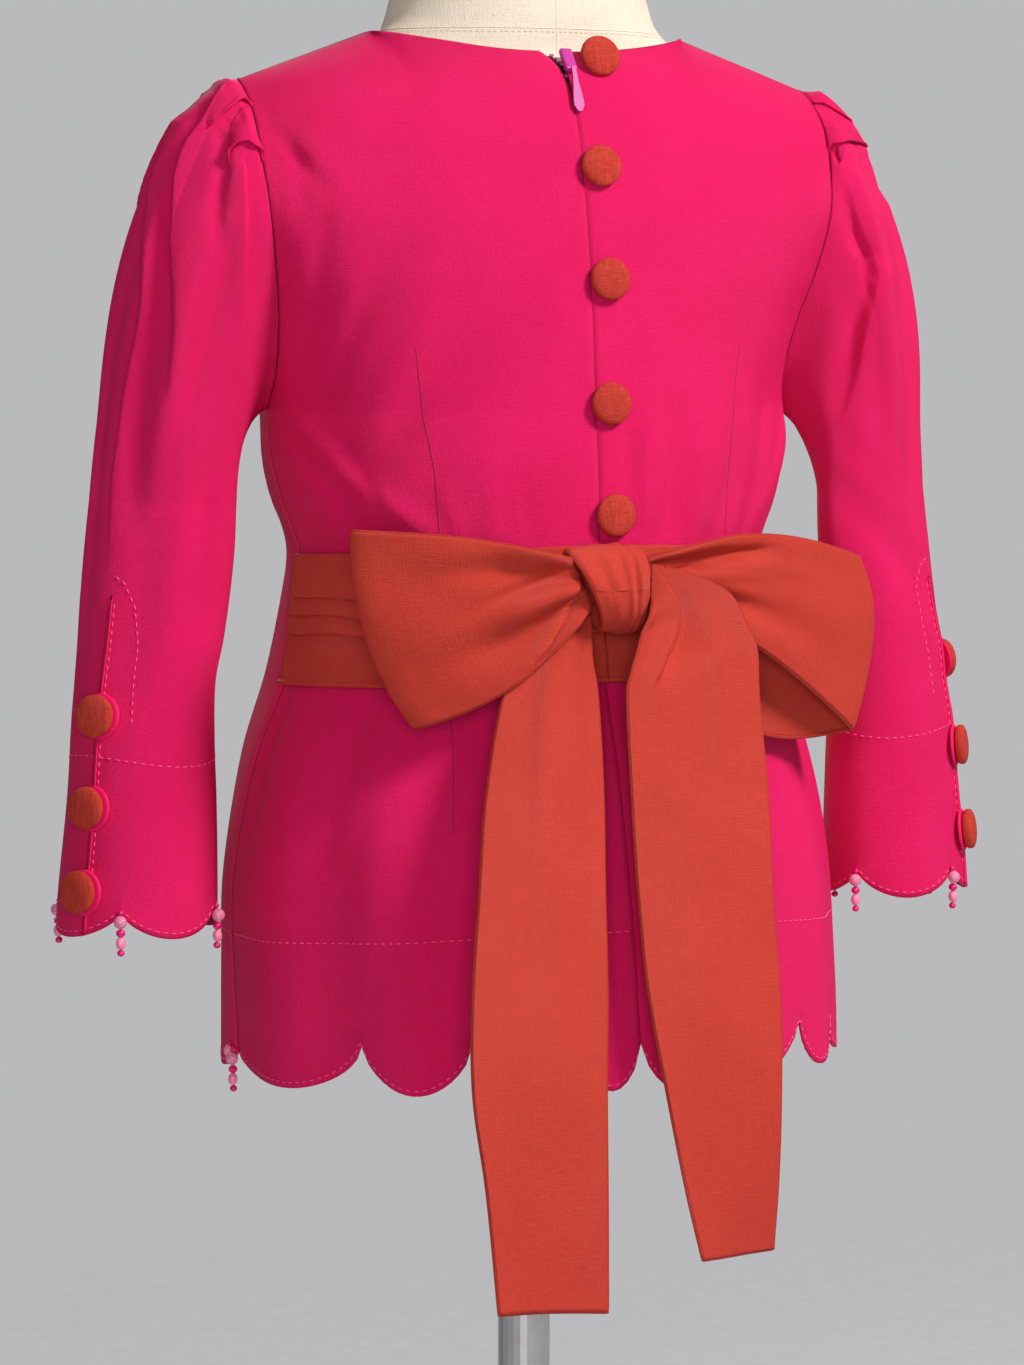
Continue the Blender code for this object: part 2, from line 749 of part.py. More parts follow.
def make_buttons(rust):
    for number, (height, across) in enumerate(BACK_BUTTONS, 1):
        point, normal, down = body_spot(height, -across)
        lift = SEAT_GAP + DOME_GAP
        if number == 1:
            normal = normal.lerp(Vector((0, 1, 0)), TOP_BUTTON_UPRIGHT).normalized()
            lift = TOP_BUTTON_LIFT
        button = turned(f"back_button_{number}", button_profile(), rust, 14)
        stand_on(button, point, normal, -down, lift)


def cuff_spot(side, height, around):
    point = arm_point(around, height)
    beside = arm_point(around + 2, height) - arm_point(around - 2, height)
    below = arm_point(around, height - 4) - arm_point(around, height + 4)
    normal = beside.cross(below).normalized()
    if normal.dot(point - arm_point(around + 180, height)) < 0:
        normal.negate()
    point, normal, beside = (Vector((side * v.x, v.y, v.z)) for v in (point, normal, beside))
    return point, normal, beside.normalized()


def make_cuff_buttons(rust, pink):
    rim = TAB_THICK / 2
    tab = [(0, TAB_THICK), (TAB_RADIUS - 1, TAB_THICK), (TAB_RADIUS, rim), (TAB_RADIUS - 1, 0), (0, 0)]
    for side, word in ((LEFT, "left"), (RIGHT, "right")):
        rows = zip(CUFF_BUTTONS[side], CUFF_BUTTON_AROUND[side])
        for number, (height, around) in enumerate(rows, 1):
            point, normal, beside = cuff_spot(side, height, around)
            up = Vector((0, 0, 1))
            flap = turned(f"cuff_tab_{word}_{number}", tab, pink, 12)
            stand_on(flap, point + beside * TAB_SHIFT, normal, up, SEAT_GAP + CUFF_GAP)
            button = turned(f"cuff_button_{word}_{number}", button_profile(), rust, 14)
            stand_on(button, point, normal, up, 2 * SEAT_GAP + CUFF_GAP + TAB_THICK)


# Zip slider and its pull

SLIDER_HEIGHT = 117.0
SLIDER_ACROSS = -1.2
SLIDER_SIZE = (6.0, 13.0, 3.0)
PULL_LENGTH = 22.5
PULL_HALF_WIDTH = 2.5
PULL_THICK = 1.4
PULL_DROP = 6.6
PULL_CLEAR = 1.8
PULL_OVERHANG = 0.2


def make_zip(plastic):
    point, normal, down = body_spot(SLIDER_HEIGHT, SLIDER_ACROSS)
    point.x = SLIDER_ACROSS
    normal.x = 0
    normal.normalize()
    down = Vector((1, 0, 0)).cross(normal)
    down = down if down.z < 0 else -down
    mesh = bmesh.new()
    bmesh.ops.create_cube(mesh, size=1, matrix=Matrix.Diagonal((*(s * MM for s in SLIDER_SIZE), 1)))
    data = bpy.data.meshes.new("zip_slider")
    mesh.to_mesh(data)
    mesh.free()
    slider = add_object("zip_slider", data, plastic, smooth=False)
    rounding = slider.modifiers.new("rounding", "BEVEL")
    rounding.width = 0.9 * MM
    rounding.segments = 2
    stand_on(slider, point, normal, -down, SEAT_GAP + SLIDER_SIZE[2] / 2)
    hinge = point + down * PULL_DROP + normal * (SEAT_GAP + SLIDER_SIZE[2] + SEAT_GAP + PULL_THICK / 2)
    outline = bpy.data.curves.new("zip_pull_outline", "CURVE")
    outline.dimensions = "2D"
    outline.fill_mode = "BOTH"
    outline.extrude = PULL_THICK / 2 * MM
    line = outline.splines.new("POLY")
    half = []
    for n in range(9):
        share = n / 8
        width = PULL_HALF_WIDTH * (0.4 + 0.6 * math.sin(0.76 * math.pi * share**2.2))
        half.append((width * (1 if n < 8 else 0.45), PULL_OVERHANG - share * PULL_LENGTH))
    points = half + [(-x, y) for x, y in reversed(half)]
    line.points.add(len(points) - 1)
    for spot, (x, y) in zip(line.points, points):
        spot.co = (x * MM, y * MM, 0, 1)
    line.use_cyclic_u = True
    shape = bpy.data.objects.new("outline", outline)
    parts.objects.link(shape)
    bpy.context.view_layer.update()
    data = bpy.data.meshes.new_from_object(shape.evaluated_get(bpy.context.evaluated_depsgraph_get()))
    bpy.data.objects.remove(shape)
    mesh = bmesh.new()
    mesh.from_mesh(data)
    bmesh.ops.remove_doubles(mesh, verts=mesh.verts, dist=0.00001)
    mesh.to_mesh(data)
    mesh.free()
    pull = add_object("zip_pull", data, plastic, smooth=False)
    low = body_spot(hinge.z - 0.88 * PULL_LENGTH, SLIDER_ACROSS)[0]
    rest = Vector((0, low.y + PULL_CLEAR - hinge.y, low.z - hinge.z)).normalized()
    stand_on(pull, hinge, Vector((1, 0, 0)).cross(rest), -rest, 0)
    print("zip pull hinge:", [round(c, 5) for c in place(hinge)])


# Dress form and stand


def form_ring(level, turns):
    back = [body_point(turn, level) for turn in turns]
    front = [body_point(180 - turn, level, front=True) for turn in reversed(turns)]
    left = back + front
    return left + [Vector((-p.x, p.y, p.z)) for p in left[::-1][1:-1]]


def ring_faces(mesh, upper, lower):
    """Faces between two rings. Points that the rings share give triangles or no face."""
    for n in range(len(upper)):
        corners = (upper[n], lower[n], lower[(n + 1) % len(upper)], upper[(n + 1) % len(upper)])
        corners = list(dict.fromkeys(corners))
        if len(corners) > 2:
            mesh.faces.new(corners)


def make_form(linen):
    turns = [NECK_TURN * n / 4 for n in range(5)] + [53, 65, 77, 90]
    levels = [*OVER_LEVELS, 1.0, 1.25, 1.5, 1.75, 2.0]
    levels += [torso_level(h) for h in (-75, -108, -140, -172, -205, -240, -270, FORM_LOW)]
    mesh = bmesh.new()
    made = {}

    def vertex(point):
        key = tuple(round(value, 2) for value in point)
        if key not in made:
            made[key] = mesh.verts.new(point)
        return made[key]

    rings = [[vertex(point) for point in form_ring(level, turns)] for level in levels]
    for upper, lower in zip(rings, rings[1:]):
        ring_faces(mesh, upper, lower)
    mesh.faces.new(dict.fromkeys(rings[-1]))
    bmesh.ops.recalc_face_normals(mesh, faces=mesh.faces)
    mesh.normal_update()
    eased = []
    for vert in mesh.verts:
        inward = -vert.normal * read(FORM_EASE, vert.co.z).off
        if vert in rings[-1]:
            inward.z = 0
        eased.append((vert, vert.co + inward))
    neckline = list(dict.fromkeys(v for v in rings[0] if abs(v.co.x) < NECK_SHOULDER.x + 0.1))
    ring = neckline
    for row in NECK:
        angles = [2 * math.pi * n / len(ring) for n in range(len(ring))]
        across, deep = row.half_width, row.half_depth
        upper = [
            mesh.verts.new((across * math.sin(a), NECK_MIDDLE + deep * math.cos(a), row.height))
            for a in angles
        ]
        ring_faces(mesh, upper, ring)
        ring = upper
    mesh.faces.new(ring)
    for vert, moved in eased:
        vert.co = moved
    for vert in neckline:
        vert.co.xy *= NECKLINE_DRAW
    bmesh.ops.recalc_face_normals(mesh, faces=mesh.faces)
    for vert in mesh.verts:
        vert.co = place(vert.co)
    data = bpy.data.meshes.new("dress_form")
    mesh.to_mesh(data)
    mesh.free()
    add_object("dress_form", data, linen)


def make_stand(wood, steel):
    r, h = BASE_RADIUS, BASE_THICK
    profile = [(0, h), (r - 5, h), (r - 1.5, h - 1.5), (r, h - 5), (r, 2), (r - 2, 0), (0, 0)]
    turned("base", profile, wood, 40)
    low, high = BASE_THICK + SEAM_GAP, BUST_LINE + FORM_LOW - SEAM_GAP
    bpy.ops.mesh.primitive_cylinder_add(
        vertices=24, radius=POLE_RADIUS * MM, depth=(high - low) * MM, location=(0, 0, (high + low) / 2 * MM)
    )
    pole = bpy.context.object
    pole.name = "pole"
    pole.data.materials.append(steel)
    for holder in list(pole.users_collection):
        holder.objects.unlink(pole)
    parts.objects.link(pole)


for old in list(bpy.data.objects):
    bpy.data.objects.remove(old)
parts = bpy.data.collections.new("bow_blouse")
bpy.context.scene.collection.children.link(parts)

pink_cloth = material("pink_cloth", (0.80, 0.012, 0.11), 0.6)
rust_satin = material("rust_satin", (0.55, 0.05, 0.025), 0.4)
button_cloth = material("button_cloth", (0.50, 0.045, 0.025), 0.75)
zip_plastic = material("zip_plastic", (0.72, 0.06, 0.40), 0.25)
form_linen = material("form_linen", (0.80, 0.70, 0.56), 0.85)
base_wood = material("base_wood", (0.42, 0.27, 0.15), 0.5)
pole_steel = material("pole_steel", (0.60, 0.60, 0.61), 0.3, 1.0)

make_panels(pink_cloth)
make_sleeves(pink_cloth)
make_sash(rust_satin)
make_knot(rust_satin)
make_loops(rust_satin)
make_tails(rust_satin)
make_buttons(button_cloth)
make_cuff_buttons(button_cloth, pink_cloth)
make_zip(zip_plastic)
make_form(form_linen)
make_stand(base_wood, pole_steel)
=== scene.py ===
# %% [markdown]
# # A bow blouse on a dress form
# A girl's blouse is mostly flat cloth that has been made to go round a body, so the whole lesson
# is about sheets. Each cut piece is a grid of points worked out from the garment's own sizes, the
# grid is pushed in and out where the cloth folds, and a thin wall is grown behind it. The packed
# solids give the frame: where every seam, button and hinge is.

# %% Load the frame
import json
import math
from collections import namedtuple

import bmesh
import bpy
import numpy as np
from mathutils import Matrix, Vector

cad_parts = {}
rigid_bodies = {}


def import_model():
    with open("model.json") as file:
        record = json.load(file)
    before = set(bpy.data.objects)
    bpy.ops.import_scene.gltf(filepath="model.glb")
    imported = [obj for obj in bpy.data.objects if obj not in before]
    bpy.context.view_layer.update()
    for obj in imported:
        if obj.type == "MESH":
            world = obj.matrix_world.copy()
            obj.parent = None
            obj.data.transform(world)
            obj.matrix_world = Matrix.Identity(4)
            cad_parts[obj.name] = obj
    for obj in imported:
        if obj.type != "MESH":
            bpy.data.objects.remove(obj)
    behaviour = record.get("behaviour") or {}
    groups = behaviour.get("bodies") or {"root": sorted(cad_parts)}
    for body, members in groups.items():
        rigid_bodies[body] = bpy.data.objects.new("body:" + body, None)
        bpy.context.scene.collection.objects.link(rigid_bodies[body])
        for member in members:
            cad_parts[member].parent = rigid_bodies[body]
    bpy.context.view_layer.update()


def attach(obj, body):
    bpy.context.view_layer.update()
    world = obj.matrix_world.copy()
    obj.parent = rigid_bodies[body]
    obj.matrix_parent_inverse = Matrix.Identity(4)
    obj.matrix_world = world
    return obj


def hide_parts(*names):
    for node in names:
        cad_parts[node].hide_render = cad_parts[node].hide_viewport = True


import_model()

# %% [markdown]
# ## Sizes
# All the tables hold millimetres, with heights counted from the bust line, because that is how a
# pattern is drafted. They are turned into metres above the floor only when a mesh is made. The
# torso is two half ellipses at each height, and the chest above the armpits is a set of arcs.

# %% Sizes of the torso
MM = 0.001
BUST_LINE = 660.0
CLOTH = 1.3
SATIN = 1.2
ARMPIT, HEM_ROUND = -43.0, -320.0
NECK_TURN = 41.0
NECK_SHOULDER = np.array((79.0, 0.0, 133.0))
SHOULDER_TIP = np.array((144.0, 3.0, 109.0))
CENTRE = {"back": np.array((0.0, 44.0, 123.0)), "front": np.array((0.0, -60.0, 95.0))}
SOFT = {"back": np.array((75.0, 32.0, 136.0)), "front": np.array((72.0, -42.0, 122.0))}
ZIP_OPEN = 11.0
Torso = namedtuple("Torso", "height half_width back front seam_turn")
TORSO = (
    Torso(-43, 128.5, 87.4, 95, 90),
    Torso(-62, 127.2, 89.8, 93, 89.5),
    Torso(-85, 122.5, 91.3, 90, 88),
    Torso(-108, 115.5, 92.2, 88, 86.5),
    Torso(-130, 117.5, 94.5, 89, 85),
    Torso(-165, 125.0, 99.5, 94, 82.5),
    Torso(-205, 137.5, 114, 105, 86.5),
    Torso(-258, 146.0, 128, 113, 89.5),
    Torso(-304, 147.2, 136.5, 115, 88.5),
    Torso(-356, 147.0, 143.5, 114, 86),
)
Yoke = namedtuple("Yoke", "along centre_height centre_depth edge_height edge_across edge_depth")
YOKES = {
    "back": (
        Yoke(0.0, 75, 70.0, 80, 144.0, 34),
        Yoke(0.25, 45, 77.0, 51, 141.5, 42),
        Yoke(0.5, 20, 81.0, 22, 136.5, 36),
        Yoke(0.7, -3, 83.8, -2, 131.5, 25),
        Yoke(0.88, -26, 85.8, -27, 129.0, 13),
        Yoke(1.0, -43, 87.4, -43, 128.5, 0),
    ),
    "front": (
        Yoke(0.0, 60, -78.0, 80, 142.0, -26),
        Yoke(0.25, 38, -85.0, 51, 136.0, -36),
        Yoke(0.5, 14, -90.0, 22, 129.5, -38),
        Yoke(0.7, -8, -93.0, -2, 127.0, -31),
        Yoke(0.88, -28, -94.5, -27, 127.2, -18),
        Yoke(1.0, -43, -95.0, -43, 128.5, 0),
    ),
}
ROUND_SHARE, ROUND_AMOUNT = (0.0, 0.46, 0.8, 1.0), (0.4, 0.5, 0.55, 0.5)
HEM_LEFT = (-12, 0, 12, 31, 53, 90)
HEM_RIGHT = (-13, 0, 13, 41, 60, 90)
HEM_FRONT = (90, 117, 139, 167, 193, 221, 243, 270)
print("blouse from", TORSO[-1].height + BUST_LINE, "to", NECK_SHOULDER[2] + BUST_LINE, "mm")

# %% [markdown]
# A table is only a few rows, so every value between them is read on a smooth curve that passes
# through the rows. This is the same idea as a tailor's French curve laid over measured points.

# %% Curves through tables
def mix(a, b, share):
    return a + (b - a) * share


def read(table, at):
    """The row of a table at a value of its first column, on a smooth curve through the rows."""
    rows = table if table[0][0] < table[-1][0] else table[::-1]
    at = min(max(at, rows[0][0]), rows[-1][0])
    i = next(n for n in range(1, len(rows)) if at <= rows[n][0])
    before, low, high, after = rows[max(i - 2, 0)], rows[i - 1], rows[i], rows[min(i + 1, len(rows) - 1)]
    span = high[0] - low[0]
    t = (at - low[0]) / span
    blend = (2 * t**3 - 3 * t**2 + 1, t**3 - 2 * t**2 + t, 3 * t**2 - 2 * t**3, t**3 - t**2)
    values = []
    for a, b, c, d in zip(before, low, high, after):
        leave, reach = (c - a) / (high[0] - before[0]), (d - b) / (after[0] - low[0])
        values.append(b * blend[0] + leave * span * blend[1] + c * blend[2] + reach * span * blend[3])
    return type(low)(*values)


def scallop(at, meets, roundness=0.6):
    """0 where two scallops meet and 1 at the lowest point of each."""
    for start, end in zip(meets, meets[1:]):
        if start <= at <= end:
            return max(0.0, math.sin(math.pi * (at - start) / (end - start))) ** roundness
    return 0.0


print("half width at the waist:", round(read(TORSO, -108).half_width, 1), "mm")

# %% [markdown]
# ## The body as one surface
# Turn is an angle round the body, 0 at the centre back, and level runs down it: 0 is the neckline
# and shoulder seam, 1 to 2 the armhole, and 2 to 3 the armpit to the hem. One function gives the
# point for any pair, so panels, seams, stitches and beads all agree about where the cloth is.

# %% Body surface
def top_edge(face, share):
    neck_share = NECK_TURN / 90
    if share > neck_share:
        return mix(NECK_SHOULDER, SHOULDER_TIP, (share - neck_share) / (1 - neck_share))
    turn = math.radians(90 * share / neck_share)
    centre = CENTRE[face]
    rise = math.sin(turn) ** 2 if face == "back" else 1 - math.cos(turn)
    across, depth = NECK_SHOULDER[0] * math.sin(turn), centre[1] * math.cos(turn)
    return np.array((across, depth, mix(centre[2], NECK_SHOULDER[2], rise)))


def yoke_point(face, along, share):
    row = read(YOKES[face], along)
    full = math.acos(max(0.0, row.edge_depth / row.centre_depth))
    across = row.edge_across * math.sin(full * share) / math.sin(full)
    depth = row.centre_depth * math.cos(full * share)
    return np.array((across, depth, mix(row.centre_height, row.edge_height, share)))


def hem_height(turn):
    if abs(turn) <= 90:
        meets = HEM_LEFT if turn >= 0 else HEM_RIGHT
        turn = abs(turn)
    else:
        meets, turn = HEM_FRONT, turn % 360
    side = abs(math.sin(math.radians(turn)))
    return mix(-325 - 15 * side**8, -346 - 5 * side**2, scallop(turn, meets))


def body_point(turn, level, face="back"):
    share = (180 - abs(turn)) / 90 if face == "front" else abs(turn) / 90
    if level < 1:
        top, low = top_edge(face, share), yoke_point(face, 0, share)
        roundness = np.interp(share, ROUND_SHARE, ROUND_AMOUNT)
        quarter = math.radians(90 * level)
        out = mix(level, math.sin(quarter), roundness)
        down = mix(level, 1 - math.cos(quarter), roundness)
        soft = mix(
            mix(CENTRE[face], SOFT[face], share),
            mix(SOFT[face], SHOULDER_TIP, share),
            share,
        )
        point = np.array((*mix(soft[:2], low[:2], out), mix(soft[2], low[2], down)))
        point += (top - soft) * (1 - level) ** 3
        if turn >= 0 and face == "back":
            point[0] += ZIP_OPEN * (1 - level) ** 4 * max(0.0, 1 - share * 5)
    elif level < 2:
        point = yoke_point(face, level - 1, share)
    else:
        down = (level - 2) / 0.94
        height = mix(ARMPIT, HEM_ROUND, min(down, 1))
        if down > 1:
            height = mix(HEM_ROUND, hem_height(turn), (level - 2.94) / 0.06)
        row = read(TORSO, height)
        angle = 180 - (180 - row.seam_turn) * share if face == "front" else row.seam_turn * share
        depth = row.back if angle < 90 else row.front
        angle = math.radians(angle)
        point = np.array((row.half_width * math.sin(angle), depth * math.cos(angle), height))
    return point * (1 if turn >= 0 else -1, 1, 1)


def torso_level(height):
    return 2 + 0.94 * (ARMPIT - height) / (ARMPIT - HEM_ROUND)


print("centre back at the waist:", body_point(0, torso_level(-108)).round(1))

# %% [markdown]
# ## Folds
# Cloth folds in soft troughs and ridges that are longer than they are wide. Each one here is a
# line on the sheet with a width and a rise, uneven like the real ones. A fold
# fades in and out along its line, and pushes the cloth along the way that it faces.

# %% Folds and grids
Crease = namedtuple("Crease", "from_across from_height to_across to_height width rise")


def facing(grid):
    """Unit vectors square to a grid of points: across the grid, crossed with down it."""
    out = np.cross(np.gradient(grid, axis=1), np.gradient(grid, axis=0))
    return out / (np.linalg.norm(out, axis=2, keepdims=True) + 1e-9)


def crease_rise(across, height, table, scale=1.0):
    """How far a table of creases lifts each place. Scale turns the across values into millimetres."""
    total = np.zeros_like(across, dtype=float)
    for fold in table:
        start = np.array((fold.from_across * scale, fold.from_height))
        run = np.array((fold.to_across * scale, fold.to_height)) - start
        aside, below = across * scale - start[0], height - start[1]
        share = (aside * run[0] + below * run[1]) / (run @ run)
        held = np.clip(share, 0, 1)
        away = np.hypot(aside - held * run[0], below - held * run[1])
        fade = np.sin(np.pi * np.clip(0.06 + 0.88 * held, 0, 1)) ** 0.7
        total += fold.rise * np.exp(-((away / fold.width) ** 2)) * fade
    return total


def ripple(across, height, size=0.35):
    """The slight unevenness that no cloth is free of, from three long waves."""
    return size * (
        np.sin(across / 13 + height / 31)
        + 0.8 * np.sin(across / 23 - height / 17 + 1.3)
        + 0.5 * np.sin(across / 7.1 + height / 53 + 0.6)
    )


# %% [markdown]
# Sharp folds and long drapes are easier to place where they are seen. A knife fold is a path of
# pixels in the photograph: the cloth rises towards the path on its high side and drops on the other.
# One function says which pixel every point of the blouse falls on, so a fold drawn there bends the
# cloth behind it.

# %% Folds drawn in the photograph
LOOK = math.radians(22)
TO_CAMERA = np.array((math.sin(LOOK), math.cos(LOOK), 0))
CAMERA_AWAY, MM_PER_PIXEL, ASIDE = 2050, 0.475, 5.7
MIDDLE_COLUMN, BUST_ROW = 512, 316
Fold = namedtuple("Fold", "high rise sink drop soft under starts ends path")
RIGHT_HIGH, LEFT_HIGH = 1, -1


def in_photo(points):
    """Where points in millimetres fall in the photograph, in pixels from its top left corner."""
    x, y, z = np.moveaxis(points, -1, 0)
    scale = CAMERA_AWAY / (CAMERA_AWAY - x * math.sin(LOOK) - y * math.cos(LOOK)) / MM_PER_PIXEL
    along = y * math.sin(LOOK) - x * math.cos(LOOK) + ASIDE
    return np.stack((MIDDLE_COLUMN + along * scale, BUST_ROW - z * scale), axis=-1)


def fold_lift(pixels, folds):
    """Lift of knife folds: high on one side of a path of pixels, with a drop on the other side."""
    total = np.zeros(pixels.shape[:2])
    for fold in folds:
        path = np.array(fold.path, float)
        lengths = np.r_[0, np.linalg.norm(np.diff(path, axis=0), axis=1).cumsum()]
        best, run = np.full_like(total, np.inf), np.zeros_like(total)
        sign = np.ones_like(total)
        for n, (start, end) in enumerate(zip(path, path[1:])):
            way, reach = end - start, pixels - start
            share = np.clip(reach @ way / (way @ way), 0, 1)
            away = np.linalg.norm(reach - share[..., None] * way, axis=-1)
            side = np.where(way[0] * reach[..., 1] - way[1] * reach[..., 0] >= 0, -1, 1)
            nearer = away < best
            best, sign = np.where(nearer, away, best), np.where(nearer, side, sign)
            run = np.where(nearer, lengths[n] + share * (lengths[n + 1] - lengths[n]), run)
        signed, run = best * sign * fold.high, run / lengths[-1]
        fall = np.clip(-signed / fold.drop, 0, 1)
        low = mix(fold.rise, -fold.sink, fall * fall * (3 - 2 * fall))
        low = low * np.exp(-((np.maximum(0, -signed - fold.drop) / fold.under) ** 2))
        lift = np.where(signed >= 0, fold.rise * np.exp(-((signed / fold.soft) ** 2)), low)
        total += lift * np.clip(run / fold.starts, 0, 1) * np.clip((1 - run) / fold.ends, 0, 1)
    return total


def swell(rise, width, starts, ends, path):
    """A soft ridge, or with a negative rise a soft valley, that is the same on both sides of its path."""
    return Fold(LEFT_HIGH, rise, -rise, 1, width, width, starts, ends, path)


print("the middle of the bust line falls on pixel", in_photo(np.zeros(3)).round(1))

# %% [markdown]
# A grid becomes a mesh of quads. Its UV map is laid out in metres along the cloth, so that the
# threads of the weave keep their real size and turn with the piece. Solidify grows the thickness
# inwards, which leaves the outer face where the grid put it.

# %% Make a cloth piece
Cloth = namedtuple("Cloth", "piece grid out across height")


def place(points):
    return (np.asarray(points, float) + (0, 0, BUST_LINE)) * MM


def add(name, data):
    made = bpy.data.objects.new(name, data)
    bpy.context.scene.collection.objects.link(made)
    return made


def mesh_object(name, verts, faces, finish, smooth=True, recalculate=False):
    mesh = bpy.data.meshes.new(name)
    mesh.from_pydata(place(verts).tolist(), [], faces)
    if recalculate:
        work = bmesh.new()
        work.from_mesh(mesh)
        bmesh.ops.recalc_face_normals(work, faces=work.faces)
        work.to_mesh(mesh)
        work.free()
    if smooth:
        mesh.shade_smooth()
    mesh.materials.append(finish)
    return add(name, mesh)


def grid_object(name, grid, finish, flip=False, weld=False):
    tall, wide = grid.shape[:2]
    numbers = np.arange(tall * wide).reshape(tall, wide)
    corners = [numbers[:-1, :-1], numbers[:-1, 1:], numbers[1:, 1:], numbers[1:, :-1]]
    faces = np.stack(corners[::-1] if flip else corners, axis=-1).reshape(-1, 4)
    mesh = bpy.data.meshes.new(name)
    mesh.from_pydata(place(grid).reshape(-1, 3).tolist(), [], faces.tolist())
    across = np.linalg.norm(np.diff(grid, axis=1), axis=2).mean(axis=0).cumsum()
    down = np.linalg.norm(np.diff(grid, axis=0), axis=2).mean(axis=1).cumsum()
    u, v = np.meshgrid(np.r_[0, across], np.r_[0, down])
    uv = np.stack((u, -v), axis=-1).reshape(-1, 2) * MM
    layer = mesh.uv_layers.new(name="cloth")
    layer.data.foreach_set("uv", uv[faces.reshape(-1)].ravel())
    if weld:
        work = bmesh.new()
        work.from_mesh(mesh)
        bmesh.ops.remove_doubles(work, verts=work.verts, dist=1e-6)
        work.to_mesh(mesh)
        work.free()
    mesh.shade_smooth()
    mesh.materials.append(finish)
    return add(name, mesh)


def thicken(piece, thickness):
    wall = piece.modifiers.new("wall", "SOLIDIFY")
    wall.thickness, wall.offset = thickness * MM, -1
    wall.use_even_offset = False
    return piece


def fit(piece, slot, *nodes, body="blouse_on_stand"):
    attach(piece, body)
    if nodes:
        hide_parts(*nodes)
    return piece


def spot(cloth, across, height):
    """Point and outward direction on a cloth piece, for an across value and a height."""
    column = np.interp(across, cloth.across[0], np.arange(cloth.grid.shape[1]))
    low = min(int(column), cloth.grid.shape[1] - 2)
    line = mix(cloth.grid[:, low], cloth.grid[:, low + 1], column - low)
    outs = mix(cloth.out[:, low], cloth.out[:, low + 1], column - low)
    row = np.interp(-height, -line[:, 2], np.arange(len(line)))
    high = min(int(row), len(line) - 2)
    return mix(line[high], line[high + 1], row - high), mix(outs[high], outs[high + 1], row - high)


# %% [markdown]
# ## Materials
# A woven cloth is threads going over and under. Two sine waves along the UV map, multiplied, give
# a plain weave, and added they give the diagonal of a twill. Long thin noise gives slubs, which
# are the thick places that every spun thread has. The colour barely changes: the folds and the
# light do the rest, so most of the work is in a small bump and in a soft sheen at the edges.

# %% Cloth finishes
def shader_of(name):
    made = bpy.data.materials.new(name)
    made.use_nodes = True
    tree = made.node_tree
    return made, tree, tree.nodes["Principled BSDF"]


def maths(tree, operation, first, second=None):
    node = tree.nodes.new("ShaderNodeMath")
    node.operation = operation
    for socket, value in zip(node.inputs, (first, second)):
        if isinstance(value, (int, float)):
            socket.default_value = value
        elif value is not None:
            tree.links.new(value, socket)
    return node.outputs[0]


def noise(tree, coordinates, scale, stretch=(1, 1, 1), detail=2.0):
    mapping = tree.nodes.new("ShaderNodeMapping")
    mapping.inputs["Scale"].default_value = stretch
    tree.links.new(coordinates, mapping.inputs["Vector"])
    made = tree.nodes.new("ShaderNodeTexNoise")
    made.inputs["Scale"].default_value = scale
    made.inputs["Detail"].default_value = detail
    tree.links.new(mapping.outputs[0], made.inputs["Vector"])
    return made.outputs["Fac"]


def ramp(tree, factor, *stops):
    made = tree.nodes.new("ShaderNodeValToRGB")
    tree.links.new(factor, made.inputs["Fac"])
    points = made.color_ramp.elements
    while len(points) < len(stops):
        points.new(0.5)
    for point, (at, colour) in zip(points, stops):
        point.position = at
        point.color = (*colour, 1)
    return made.outputs["Color"]


def bump(tree, shader, height, strength, distance):
    made = tree.nodes.new("ShaderNodeBump")
    made.inputs["Strength"].default_value = strength
    made.inputs["Distance"].default_value = distance
    tree.links.new(height, made.inputs["Height"])
    tree.links.new(made.outputs[0], shader.inputs["Normal"])


def woven(
    name, deep, colour, bright, thread=0.5, twill=False,
    roughness=0.6, sheen=0.3, grain=0.5, coordinates="UV",
):
    made, tree, shader = shader_of(name)
    where = tree.nodes.new("ShaderNodeTexCoord").outputs[coordinates]
    parts = tree.nodes.new("ShaderNodeSeparateXYZ")
    tree.links.new(where, parts.inputs[0])
    turns = 2 * math.pi / (thread * MM)
    warp = maths(tree, "MULTIPLY", parts.outputs[0], turns)
    weft = maths(tree, "MULTIPLY", parts.outputs[1 if coordinates == "UV" else 2], turns)
    if twill:
        weave = maths(tree, "SINE", maths(tree, "ADD", warp, maths(tree, "MULTIPLY", weft, 0.8)))
    else:
        weave = maths(tree, "MULTIPLY", maths(tree, "SINE", warp), maths(tree, "SINE", weft))
    along = noise(tree, where, 1.0, (150, 1500, 1500))
    down = noise(tree, where, 1.0, (1500, 150, 150))
    patches = noise(tree, where, 22.0)
    slubs = maths(tree, "ADD", along, down)
    tone = maths(tree, "ADD", maths(tree, "MULTIPLY", slubs, grain), maths(tree, "MULTIPLY", weave, 0.04))
    tone = maths(tree, "ADD", tone, maths(tree, "MULTIPLY", patches, 0.35))
    middle = grain + 0.175
    colours = ramp(tree, tone, (middle - 0.17, deep), (middle, colour), (middle + 0.17, bright))
    tree.links.new(colours, shader.inputs["Base Color"])
    height = maths(tree, "ADD", maths(tree, "MULTIPLY", weave, 0.35), slubs)
    bump(tree, shader, height, 0.6, 0.0007)
    shader.inputs["Roughness"].default_value = roughness
    shader.inputs["Sheen Weight"].default_value = sheen
    shader.inputs["Sheen Roughness"].default_value = 0.45
    shader.inputs["Sheen Tint"].default_value = (*bright, 1)
    shader.inputs["Specular IOR Level"].default_value = 0.2
    return made


